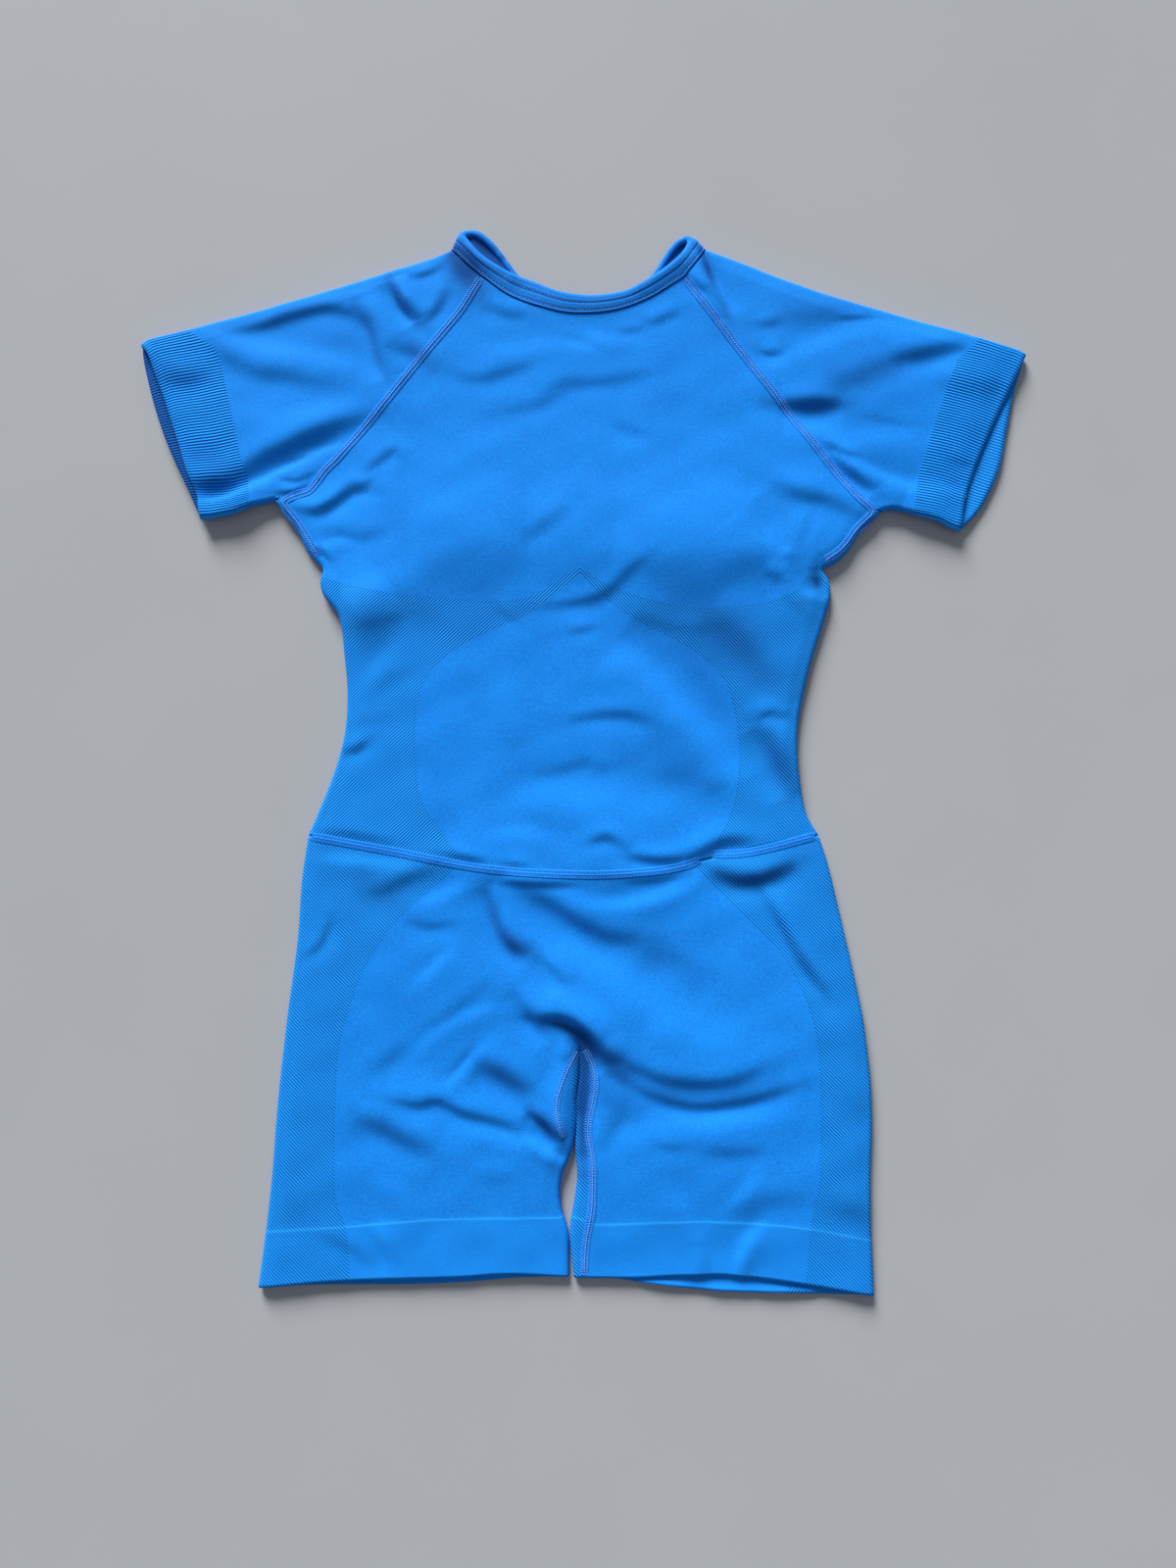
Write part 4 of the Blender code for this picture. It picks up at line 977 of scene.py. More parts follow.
@dataclass(frozen=True)
class KnitMap:
    """Where the diagonal rib knit and the leg bands lie, and how the ribs run."""

    pitch: float = RIB_PITCH
    middle: float = -1.9
    peak: float = 97.0
    bodice_angles: tuple[float, float] = (43.0, -48.0)
    shorts_angle: float = -45.0
    bust_left: Spots = (
        (-220, 104), (-156.6, 96.2), (-132.8, 88.2), (-110.1, 83.6), (-81.9, 81.3), (-49.2, 80.1),
        (-31, 82.2), (-18.4, 89.2), (-10, 95), (-1.9, 99.1),
    )
    oval_left: Spots = (
        (-1.9, 95.8), (-10, 89), (-18.8, 82), (-33.4, 71.5), (-49.7, 64.3), (-71, 53.3), (-88.7, 37.4),
        (-95.2, 14.8), (-92.9, -28.4), (-82.2, -49.5), (-58.1, -79),
    )
    bust_right: Spots = (
        (-1.9, 99.1), (8.2, 92.2), (18, 87.8), (29.2, 83.4), (39, 80.8), (53.3, 77.8), (81.4, 76.2),
        (116.5, 83), (133.7, 100.8), (150, 118),
    )
    oval_right: Spots = (
        (-1.9, 95.8), (2.6, 90.6), (8.9, 84.7), (16.6, 78.3), (29.1, 69.8), (45.8, 61.2), (64, 50.4),
        (79.9, 35.2), (86.4, 14.8), (88.3, -10.5), (83, -41.8), (60.6, -80),
    )
    shorts_left: Spots = (
        (-64, -64), (-74.1, -74.9), (-98.7, -96.3), (-115.4, -117.1), (-127.1, -141.5), (-135.3, -172.8),
        (-136.8, -205.9), (-135.9, -253.4), (-129.7, -269.6), (-127, -310),
    )
    shorts_right: Spots = (
        (58, -64), (66.1, -74.9), (88.5, -98), (107.5, -117.1), (121.9, -141.5), (129.1, -165.8),
        (130.8, -194.2), (130, -241.8), (124.7, -267.6), (120.4, -315),
    )
    thigh_strip: Spots = (
        (0.4, -171.7), (4.2, -179.7), (6.4, -188.8), (5.9, -197.3), (2.6, -212.2), (2.6, -220.7),
        (4.8, -232.9), (4.8, -257.6), (1.5, -278), (0.5, -300),
    )
    band: Spots = (
        (-200, -272.5), (-172.7, -271.2), (-129.7, -268.6), (-81.9, -264.9), (-14.6, -263.9),
        (-3.9, -263.9), (8, -267.6), (65, -266), (122.5, -269.6), (159.5, -276.4), (190, -282),
    )
    far: float = 260.0
    bodice_back: Triple = (84.0, 0.12, 20.0)
    shorts_back: Triple = (96.0, 0.16, -190.0)

    def signed(self, points: Array, line: Spots, *closing: Spots) -> Array:
        """Distance to a curve, positive inside the ring that it makes with the closing points."""
        path = smooth_path(line, 6)
        ring = np.vstack([path, *[np.array(spots, float).reshape(-1, 2) for spots in closing]])
        distance = nearest(points, path)[0]
        return np.where(inside(points, ring), distance, -distance)

    def back_zone(self, points: Array, panel: Triple) -> Array:
        """Signed distance into the back's two side panels.

        Args:
            points: plan points.
            panel: half the gap between the panels where it is least, how fast it grows, and that place's y.

        Returns:
            The distances, positive inside.
        """
        half_gap, growth, place = panel
        return np.abs(points[:, 0] - self.middle) - half_gap - growth * np.abs(points[:, 1] - place)

    def bodice_zone(self, points: Array, face: Face) -> Array:
        """Signed distance into the bodice's diagonal-rib knit."""
        if face is Face.BACK:
            return self.back_zone(points, self.bodice_back)
        far = self.far
        below = [
            self.signed(points, self.bust_left, ((0, -far), (-far, -far))),
            self.signed(points, self.bust_right, ((far, 118), (far, -far), (-2, -far))),
        ]
        beside = [
            self.signed(points, self.oval_left, ((-far, -79), (-far, 200), (-1.9, 200))),
            self.signed(points, self.oval_right, ((far, -80), (far, 200), (-1.9, 200))),
        ]
        return np.max([np.minimum(a, b) for a, b in zip(below, beside)], axis=0)

    def shorts_zone(self, points: Array, face: Face) -> Array:
        """Signed distance into the shorts' diagonal-rib knit."""
        if face is Face.BACK:
            return self.back_zone(points, self.shorts_back)
        far = self.far
        sides = [
            self.signed(points, self.shorts_left, ((-far, -310), (-far, -20), (-64, -20))),
            self.signed(points, self.shorts_right, ((far, -315), (far, -20), (58, -20))),
            self.signed(points, self.thigh_strip, ((-8, -300), (-8, -171.7))),
        ]
        sides[2] = np.where(points[:, 0] > -8, sides[2], -far)
        return np.max(sides, axis=0)

    def phase(self, points: Array, angle: float | Array) -> Array:
        """Number of rib pitches across the ribs, for ribs at this angle in degrees above +X."""
        turn = np.radians(angle)
        return (-points[:, 0] * np.sin(turn) + points[:, 1] * np.cos(turn)) / self.pitch

    def bodice_values(self, points: Array, face: Face) -> dict[str, Array]:
        """Pattern values of the bodice at plan points."""
        left, right = self.bodice_angles
        flip = -1 if face is Face.BACK else 1
        angle = np.where(points[:, 0] < self.middle, left * flip, right * flip)
        from_peak = points - (self.middle, self.peak)
        return {"rib_zone": self.bodice_zone(points, face), "rib_phase": self.phase(from_peak, angle)}

    def shorts_values(self, points: Array, face: Face) -> dict[str, Array]:
        """Pattern values of the shorts at plan points."""
        flip = -1 if face is Face.BACK else 1
        band = self.signed(points, self.band, ((190, -400), (-200, -400)))
        return {
            "rib_zone": self.shorts_zone(points, face),
            "rib_phase": self.phase(points, self.shorts_angle * flip),
            "band": band,
        }


# ---------------------------------------------------------------- node trees


@dataclass
class Graph:
    """Adds nodes to one node tree and links them."""

    tree: bpy.types.NodeTree

    def add(
        self, kind: str, inputs: dict[str | int, object] | None = None, **settings: object
    ) -> bpy.types.Node:
        """Adds a node.

        Args:
            kind: the node's type.
            inputs: values or sockets for its inputs.
            settings: values for its own settings.

        Returns:
            The node.
        """
        node = self.tree.nodes.new(kind)
        for name, value in settings.items():
            setattr(node, name, value)
        for key, value in (inputs or {}).items():
            self.feed(node.inputs[key], value)
        return node

    def feed(self, socket: Socket, value: object) -> None:
        """Links a socket to an input, or sets the input's own value.

        Args:
            socket: the input.
            value: a socket of another node, or a number or colour.
        """
        if isinstance(value, Socket):
            self.tree.links.new(value, socket)
        else:
            socket.default_value = value

    def math(self, operation: str, *values: object, clamp: bool = False) -> Socket:
        """Result of a Math node on values or sockets."""
        node = self.add("ShaderNodeMath", dict(enumerate(values)), operation=operation, use_clamp=clamp)
        return node.outputs[0]

    def ramp(
        self, value: object, low: float, high: float, start: float = 0.0, end: float = 1.0
    ) -> Socket:
        """Smooth step from start to end as the value goes from low to high.

        Args:
            value: the value that goes up.
            low: where the step begins.
            high: where it ends.
            start: the result below it.
            end: the result above it.

        Returns:
            The stepped value.
        """
        inputs = {"Value": value, "From Min": low, "From Max": high, "To Min": start, "To Max": end}
        return self.add("ShaderNodeMapRange", inputs, interpolation_type="SMOOTHSTEP").outputs[0]

    def mix(self, share: object, first: object, second: object) -> Socket:
        """Mix of two colours.

        Args:
            share: how much of the second colour there is.
            first: the first colour.
            second: the second colour.

        Returns:
            The mixed colour.
        """
        node = self.add("ShaderNodeMix", data_type="RGBA")
        for key, value in ((0, share), (6, first), (7, second)):
            self.feed(node.inputs[key], value)
        return node.outputs[2]

    def noise(self, vector: object, scale: float, detail: float = 2.0) -> Socket:
        """Value of a Noise texture."""
        return self.add("ShaderNodeTexNoise", {"Vector": vector, "Scale": scale, "Detail": detail}).outputs[0]

    def attribute(self, name: str) -> Socket:
        """Value of a point attribute."""
        return self.add("ShaderNodeAttribute", attribute_name=name).outputs["Fac"]


def shader_group(
    name: str, inputs: dict[str, tuple[str, object]], outputs: Sequence[str],
    build: Callable[[Graph, dict[str, Socket]], dict[str, Socket]],
) -> bpy.types.NodeTree:
    """Shader node group that is built once and found again by its name.

    Args:
        name: the group's name.
        inputs: socket type and default of each input.
        outputs: names of its values.
        build: makes the nodes from the input sockets and returns a socket for each output.

    Returns:
        The node group.
    """
    found = bpy.data.node_groups.get(name)
    if found:
        return found
    tree = bpy.data.node_groups.new(name, "ShaderNodeTree")
    for key, (kind, default) in inputs.items():
        socket = tree.interface.new_socket(key, in_out="INPUT", socket_type=kind)
        if default is not None:
            socket.default_value = default
    for key in outputs:
        tree.interface.new_socket(key, in_out="OUTPUT", socket_type="NodeSocketFloat")
    graph = Graph(tree)
    source = graph.add("NodeGroupInput")
    results = build(graph, {key: source.outputs[key] for key in inputs})
    sink = graph.add("NodeGroupOutput")
    for key, socket in results.items():
        graph.feed(sink.inputs[key], socket)
    return tree


def jersey_group() -> bpy.types.NodeTree:
    """Fine jersey: mottled yarn shade and the small height of its loops."""

    def build(graph: Graph, given: dict[str, Socket]) -> dict[str, Socket]:
        """Lays out the nodes of the group."""
        vector = given["Vector"]
        fine = graph.noise(vector, 1150.0, 1.0)
        middle = graph.noise(vector, 330.0, 2.0)
        broad = graph.noise(vector, 16.0, 3.0)
        shade = graph.math("ADD", graph.math("MULTIPLY", fine, 0.65), graph.math("MULTIPLY", middle, 0.17))
        shade = graph.math("ADD", shade, graph.math("MULTIPLY", broad, 0.18))
        height = graph.math("ADD", graph.math("MULTIPLY", fine, 0.7), graph.math("MULTIPLY", middle, 0.3))
        return {"Shade": shade, "Height": height}

    return shader_group("jersey loops", {"Vector": ("NodeSocketVector", None)}, ("Shade", "Height"), build)


def rib_group() -> bpy.types.NodeTree:
    """Ribs of a knit: rounded cords with dark grooves between, each cord a chain of stitches."""

    def build(graph: Graph, given: dict[str, Socket]) -> dict[str, Socket]:
        """Lays out the nodes of the group."""
        wobble = graph.math("MULTIPLY", graph.math("SUBTRACT", graph.noise(given["Vector"], 60.0), 0.5), 0.5)
        turn = graph.math("MULTIPLY", graph.math("ADD", given["Phase"], wobble), 2 * math.pi)
        wave = graph.math("ADD", graph.math("MULTIPLY", graph.math("SINE", turn), 0.5), 0.5)
        grain = graph.noise(given["Vector"], 900.0, 1.0)
        height = graph.math("ADD", wave, graph.math("MULTIPLY", grain, given["Grain"]))
        return {"Height": height, "Groove": graph.math("SUBTRACT", 1.0, wave)}

    inputs = {
        "Vector": ("NodeSocketVector", None),
        "Phase": ("NodeSocketFloat", 0.0),
        "Grain": ("NodeSocketFloat", 0.3),
    }
    return shader_group("knit ribs", inputs, ("Height", "Groove"), build)


def new_shader(name: str) -> tuple[Material, Graph, bpy.types.Node, Socket]:
    """New material with its graph, its main shader and its object coordinates."""
    material = bpy.data.materials.new(name)
    material.use_nodes = True
    graph = Graph(material.node_tree)
    shader = material.node_tree.nodes["Principled BSDF"]
    return material, graph, shader, graph.add("ShaderNodeTexCoord").outputs["Object"]


@dataclass(frozen=True)
class KnitFinish:
    """Matte stretch knit: jersey, with diagonal ribs where the piece has them, and painted shade in folds and
    on its inner wall.
    """

    name: str
    light: Triple = (0.0080, 0.262, 0.88)
    dark: Triple = (0.0065, 0.196, 0.72)
    crest: Triple = (0.0110, 0.360, 1.00)
    groove: Triple = (0.0055, 0.130, 0.58)
    band: Triple = (0.0090, 0.275, 0.93)
    pale: Triple = (0.0200, 0.380, 1.00)
    # The deep colour below is the colour of painted shade; the next two numbers set how far the inner wall
    # and the shaded fold patches are darkened towards it.
    deep: Triple = (0.0030, 0.045, 0.23)
    inner_wall_painted_shade: float = 0.5
    painted_shade_weight: float = 0.85
    band_share: float = 0.55
    rib_share: float = 0.72
    groove_share: float = 0.4
    roughness: float = 0.82
    sheen: float = 0.06
    loop_depth: float = 0.00012
    rib_depth: float = 0.00030
    rib_middle: float = 0.65
    has_ribs: bool = True
    has_cuff: bool = False
    has_band: bool = False
    has_groove: bool = False

    def material(self) -> Material:
        """Builds the material."""
        material, graph, shader, place = new_shader(self.name)
        loops = graph.add("ShaderNodeGroup", node_tree=jersey_group())
        graph.feed(loops.inputs["Vector"], place)
        shade = graph.ramp(loops.outputs["Shade"], 0.34, 0.66)
        colour = graph.mix(shade, (*self.dark, 1.0), (*self.light, 1.0))
        height = graph.math("MULTIPLY", loops.outputs["Height"], self.loop_depth)
        if self.has_ribs:
            colour, height = self.ribbed(graph, place, "rib_zone", "rib_phase", colour, height)
        if self.has_band:
            in_band = graph.ramp(graph.attribute("band"), -0.4, 0.4)
            colour = graph.mix(graph.math("MULTIPLY", in_band, self.band_share), colour, (*self.band, 1.0))
            off_line = graph.math("ABSOLUTE", graph.attribute("band"))
            colour = graph.mix(graph.ramp(off_line, 0.2, 1.0, 0.7, 0.0), colour, (*self.pale, 1.0))
        if self.has_cuff:
            colour, height = self.ribbed(graph, place, "cuff_zone", "cuff_phase", colour, height)
        if self.has_groove:
            sewn = graph.math("MULTIPLY", graph.attribute("groove"), self.groove_share)
            colour = graph.mix(sewn, colour, (*self.groove, 1.0))
        # Painted shade: the inner wall and the marked fold patches are darkened towards the deep colour,
        # standing in for the shade inside openings and in folds.
        inner = graph.math("MULTIPLY", graph.attribute("inner"), self.inner_wall_painted_shade)
        hollow = graph.math("MULTIPLY", graph.attribute("hollow"), self.painted_shade_weight)
        shaded = graph.math("MAXIMUM", inner, hollow)
        colour = graph.mix(shaded, colour, (*self.deep, 1.0))
        bump = graph.add("ShaderNodeBump", {"Height": height, "Distance": 1.0, "Strength": 1.0})
        graph.feed(shader.inputs["Base Color"], colour)
        graph.feed(shader.inputs["Normal"], bump.outputs[0])
        rough = graph.ramp(loops.outputs["Shade"], 0.3, 0.7, self.roughness - 0.05, self.roughness + 0.05)
        graph.feed(shader.inputs["Roughness"], rough)
        shader.inputs["Specular IOR Level"].default_value = 0.12
        shader.inputs["Sheen Weight"].default_value = self.sheen
        shader.inputs["Sheen Roughness"].default_value = 0.5
        shader.inputs["Sheen Tint"].default_value = (0.10, 0.50, 1.0, 1.0)
        return material

    def ribbed(
        self, graph: Graph, place: Socket, zone: str, phase: str,
        colour: Socket, height: Socket,
    ) -> tuple[Socket, Socket]:
        """Adds ribs to a colour and a height inside one zone.

        Args:
            graph: the material's nodes.
            place: the pattern's coordinates.
            zone: attribute with the distance into the zone, in millimetres.
            phase: attribute with the number of ribs across.
            colour: the plain knit's colour.
            height: the plain knit's height.

        Returns:
            The new colour and height.
        """
        ribs = graph.add("ShaderNodeGroup", node_tree=rib_group())
        graph.feed(ribs.inputs["Vector"], place)
        graph.feed(ribs.inputs["Phase"], graph.attribute(phase))
        mask = graph.ramp(graph.attribute(zone), -0.35, 0.35)
        striped = graph.mix(ribs.outputs["Groove"], (*self.crest, 1.0), (*self.groove, 1.0))
        off_edge = graph.math("ABSOLUTE", graph.math("SUBTRACT", graph.attribute(zone), 0.5))
        lined = graph.mix(self.rib_share, colour, striped)
        lined = graph.mix(graph.ramp(off_edge, 0.2, 0.8, 0.15, 0.0), lined, (*self.groove, 1.0))
        rise = graph.math("SUBTRACT", ribs.outputs["Height"], self.rib_middle)
        raised = graph.math("ADD", graph.math("MULTIPLY", rise, self.rib_depth), height)
        joined = graph.add("ShaderNodeMix", {0: mask, 2: height, 3: raised}, data_type="FLOAT")
        return graph.mix(mask, colour, lined), joined.outputs[0]


@dataclass(frozen=True)
class ThreadFinish:
    """Twisted sewing thread."""

    name: str
    colour: Triple = (0.200, 0.480, 1.0)
    dark: Triple = (0.085, 0.320, 0.90)
    roughness: float = 0.6

    def material(self) -> Material:
        """Builds the material."""
        material, graph, shader, place = new_shader(self.name)
        shade = graph.ramp(graph.noise(place, 1400.0, 1.0), 0.35, 0.65)
        graph.feed(shader.inputs["Base Color"], graph.mix(shade, (*self.dark, 1.0), (*self.colour, 1.0)))
        bump = graph.add("ShaderNodeBump", {"Height": graph.noise(place, 2600.0, 0.0), "Distance": 0.0001})
        graph.feed(shader.inputs["Normal"], bump.outputs[0])
        shader.inputs["Roughness"].default_value = self.roughness
        shader.inputs["Specular IOR Level"].default_value = 0.2
        return material


@dataclass(frozen=True)
class FloorFinish:
    """Plain pale floor."""

    name: str
    colour: Triple = (0.405, 0.42, 0.445)
    shade: Triple = (0.380, 0.395, 0.420)
    roughness: float = 0.7

    def material(self) -> Material:
        """Builds the material."""
        material, graph, shader, place = new_shader(self.name)
        share = graph.noise(place, 9.0, 4.0)
        graph.feed(shader.inputs["Base Color"], graph.mix(share, (*self.shade, 1.0), (*self.colour, 1.0)))
        shader.inputs["Roughness"].default_value = self.roughness
        shader.inputs["Specular IOR Level"].default_value = 0.2
        return material


# ---------------------------------------------------------------- pieces


@dataclass
class Made:
    """A finished piece and what it stands for."""

    piece: bpy.types.Object
    replaces: tuple[str, ...]
    slot: str


def register(made: Made) -> bpy.types.Object:
    """Hands a finished piece to the frame and logs it."""
    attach(made.piece, BODY)
    if made.replaces:
        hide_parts(*made.replaces)
    log.info("%s: %d faces", made.piece.name, len(made.piece.data.polygons))
    return made.piece


@dataclass
class Cloth:
    """A piece of knitted cloth that replaces one solid."""

    outline: Outline
    relief: Relief

    def sheet(self) -> Sheet:
        """Mid-surface of the piece."""
        raise NotImplementedError

    def dressed(self, node: str, slot: str, material: Material, wall: float) -> tuple[Made, Sheet]:
        """Builds the piece.

        Args:
            node: the solid that it replaces.
            slot: its material slot.
            material: its material.
            wall: the thickness of its knit.

        Returns:
            The finished piece and its mid-surface.
        """
        sheet = self.sheet()
        piece = sheet.walled(wall).to_object(f"{node}_cloth", material)
        return Made(piece, (node,), slot), sheet


@dataclass
class Bodice(Cloth):
    """Body tube from the waist seam to the raglan and neck seams."""

    knit: KnitMap
    side_steps: int = 112
    raglan_steps: dict[Face, int] = fixed({Face.FRONT: 92, Face.BACK: 40})
    columns: dict[Face, int] = fixed({Face.FRONT: 176, Face.BACK: 52})

    def sheet(self) -> Sheet:
        """Mid-surface: a front and a back grid, joined along the side folds."""
        half = SEAM_GAP / 2
        sides = {hand: divided(smooth_path(self.outline.side[hand]), self.side_steps) for hand in Hand}
        for side in sides.values():
            side[-1] += corner_step(side)
        layers, plans = {}, {}
        skipped = len(SMALL_STEPS)
        for face in Face:
            steps, columns = self.raglan_steps[face], self.columns[face]
            raglan = {
                hand: seam_edge(self.outline.raglan[face, hand], steps, aside, small_start=True)[skipped:]
                for hand, aside in ((Hand.LEFT, -half), (Hand.RIGHT, half))
            }
            top = seam_edge(self.outline.neck[face], columns, -half, True, True)
            bottom = seam_edge(self.outline.waist[face], columns, half, True, True)
            left = np.vstack([sides[Hand.LEFT], raglan[Hand.LEFT]])
            right = np.vstack([sides[Hand.RIGHT], raglan[Hand.RIGHT]])
            left[0], right[0] = bottom[0], bottom[-1]
            joined_ends(left, top, right[::-1])
            plans[face] = patch(left, right, bottom, top)
            layers[face] = self.relief.laid(plans[face], face)
        for column in (0, -1):
            share_points(layers[Face.FRONT], layers[Face.BACK], slice(0, self.side_steps + 1), column)
        grids = []
        for face in Face:
            points = plans[face].reshape(-1, 2)
            values = self.knit.bodice_values(points, face)
            if face is Face.FRONT:
                # Painted shade in the bodice's folds and under the bust.
                values["hollow"] = self.relief.hollow(points)
            grids.append(Grid(layers[face], face is Face.BACK, values))
        return Sheet.welded(grids)

    def make(self) -> tuple[Made, Sheet]:
        """Builds and dresses the bodice."""
        return self.dressed("bodice", "body_knit", KnitFinish("bodice knit").material(), self.relief.wall)


@dataclass
class Shorts(Cloth):
    """Lower body tube with two legs and their knitted-on bands."""

    knit: KnitMap
    hip_steps: int = 58
    leg_steps: int = 84
    columns: dict[Face, int] = fixed({Face.FRONT: 92, Face.BACK: 30})
    band_rise: float = 0.12
    line_rise: float = 0.16
    overlap: float = 1.6
    overlap_place: float = -203.0
    overlap_reach: float = 20.0
    overlap_span: tuple[float, float] = (-22.0, -4.0)
    line_width: float = 0.8

    def sheet(self) -> Sheet:
        """Mid-surface: a front and a back grid for each leg, joined along the side and inner leg folds."""
        half = SEAM_GAP / 2
        grids = []
        for hand in Hand:
            hip, thigh = smooth_path(self.outline.hip[hand]), smooth_path(self.outline.thigh[hand])
            outer = np.vstack([divided(hip, self.hip_steps), divided(thigh, self.leg_steps)[1:]])
            inner_fold = divided(smooth_path(self.outline.inner[hand]), self.leg_steps)[1:]
            layers, plans = {}, {}
            for face in Face:
                centre = divided(smooth_path(self.outline.centre[face]), self.hip_steps)
                inner = np.vstack([centre, inner_fold])
                waist = moved_aside(smooth_path(self.outline.waist[face], 48), -half)
                split = int(np.argmin(np.linalg.norm(waist - centre[0], axis=1)))
                waist = waist[: split + 1] if hand is Hand.LEFT else waist[split:]
                top = divided(waist, self.columns[face], True, True)
                bottom = divided(smooth_path(self.outline.hem[face, hand]), self.columns[face], True, True)
                left, right = (outer, inner) if hand is Hand.LEFT else (inner, outer)
                left, right = left[::-1].copy(), right[::-1].copy()
                left[-1], right[-1] = top[0], top[-1]
                plans[face] = patch(left, right, bottom, top)
                layers[face] = self.relief.laid(plans[face], face)
            if hand is Hand.LEFT:
                for face in Face:
                    away = (plans[face][..., 1] - self.overlap_place) / self.overlap_reach
                    aside = smoothstep(*self.overlap_span, plans[face][..., 0])
                    layers[face][..., 0] += self.overlap * np.exp(-(away**2)) * aside
            outer_column, inner_column = (0, -1) if hand is Hand.LEFT else (-1, 0)
            share_points(layers[Face.FRONT], layers[Face.BACK], slice(None), outer_column)
            share_points(layers[Face.FRONT], layers[Face.BACK], slice(0, self.leg_steps + 1), inner_column)
            for face in Face:
                values = self.knit.shorts_values(plans[face].reshape(-1, 2), face)
                if face is Face.FRONT:
                    line = np.exp(-((values["band"] / self.line_width) ** 2))
                    raised = self.band_rise * smoothstep(-0.6, 0.6, values["band"]) + self.line_rise * line
                    values["raised"] = raised
                    # Painted shade by the crotch and in the shorts' folds.
                    values["hollow"] = self.relief.hollow(plans[face].reshape(-1, 2))
                grids.append(Grid(layers[face], face is Face.BACK, values))
        return Sheet.welded(grids)

    def make(self) -> tuple[Made, Sheet]:
        """Builds and dresses the shorts."""
        # A faint painted shade on the inner wall.
        finish = KnitFinish("shorts knit", inner_wall_painted_shade=0.08, has_band=True)
        return self.dressed("shorts", "body_knit", finish.material(), self.relief.wall)


@dataclass
class Sleeve(Cloth):
    """Raglan sleeve tube with a ribbed cuff knitted on."""

    hand: Hand
    cuff_length: float = 28.0
    rib_height: float = 0.3
    ribs: dict[Face, int] = fixed({Face.FRONT: 68, Face.BACK: 68})
    points_per_rib: dict[Face, int] = fixed({Face.FRONT: 4, Face.BACK: 1})
    cuff_steps: int = 12
    body_steps: int = 62
    tip_share: float = 0.12
    # Painted shade on the inner wall: dark inside the left cuff's opening, none inside the right one, which
    # the light reaches.
    inner_wall_painted_shade: dict[Hand, float] = fixed({Hand.LEFT: 0.8, Hand.RIGHT: 0.0})

    def plan(self, face: Face) -> tuple[Array, Array, Array]:
        """Plan grid of one layer from the cuff's edge to the raglan seam.

        Args:
            face: the layer.

        Returns:
            The grid, its shares around the tube and its distances from the cuff's end.
        """
        half = SEAM_GAP / 2
        aside = half if self.hand is Hand.LEFT else -half
        columns = self.ribs[face] * self.points_per_rib[face]
        edges = []
        for spots in (self.outline.lower[self.hand], self.outline.shoulder[self.hand]):
            path = smooth_path(spots)
            length = run_of(path)[-1]
            cuff = np.linspace(0, self.cuff_length, self.cuff_steps, endpoint=False)
            body = np.linspace(self.cuff_length, length, self.body_steps + 1)
            edges.append(at_distances(path, np.concatenate([cuff, body])))
        tip_steps = int(round(columns * self.tip_share))
        seam_steps = columns - tip_steps - 2 * (len(SMALL_STEPS) - 1)
        seam = seam_edge(self.outline.raglan[face, self.hand], seam_steps, aside, small_start=True)
        neck = seam_edge(self.outline.tip[face, self.hand], tip_steps, aside, small_end=True)
        joined_ends(seam, neck)
        end = np.vstack([seam, neck[1:]])
        for corner, fold in ((0, edges[0]), (-1, edges[1])):
            end[corner] += corner_step(fold)
        cuff_edge = smooth_path(self.outline.cuff[face, self.hand])
        opening = divided(cuff_edge, columns - 2 * (len(SMALL_STEPS) - 1), True, True)
        left, right = edges[0].copy(), edges[1].copy()
        left[-1], right[-1] = end[0], end[-1]
        around = run_of(opening) / run_of(opening)[-1]
        along = np.concatenate([
            np.linspace(-self.cuff_length, 0, self.cuff_steps, endpoint=False),
            np.linspace(0, 2 * self.cuff_length, self.body_steps + 1),
        ])
        return patch(left, right, opening, end), around, along

    def sheet(self) -> Sheet:
        """Mid-surface: front and back grid, joined along the shoulder and lower folds."""
        layers, values = {}, {}
        for face in Face:
            grid, around, along = self.plan(face)
            layers[face] = self.relief.laid(grid, face)
            zone = np.repeat(-along[:, None], grid.shape[1], axis=1)
            phase = np.repeat(around[None] * self.ribs[face], grid.shape[0], axis=0)
            values[face] = {"cuff_zone": zone, "cuff_phase": phase}
            if face is Face.FRONT:
                ridge = 0.5 + 0.5 * np.sin(2 * np.pi * phase)
                values[face]["raised"] = self.rib_height * ridge * smoothstep(-0.8, 0.8, zone)
                # Painted shade in the sleeve's folds.
                values[face]["hollow"] = self.relief.hollow(grid.reshape(-1, 2))
        for column in (0, -1):
            share_points(layers[Face.FRONT], layers[Face.BACK], slice(None), column)
        turned = self.hand is Hand.RIGHT
        return Sheet.welded([
            Grid(layers[face], (face is Face.FRONT) == (not turned), values[face]) for face in Face
        ])

    def make(self) -> tuple[Made, Sheet]:
        """Builds and dresses the sleeve."""
        side = self.hand.value
        finish = KnitFinish(
            f"sleeve {side} knit", inner_wall_painted_shade=self.inner_wall_painted_shade[self.hand], has_ribs=False, has_cuff=True
        )
        return self.dressed(f"sleeve_{side}", "sleeve_knit", finish.material(), self.relief.wall)


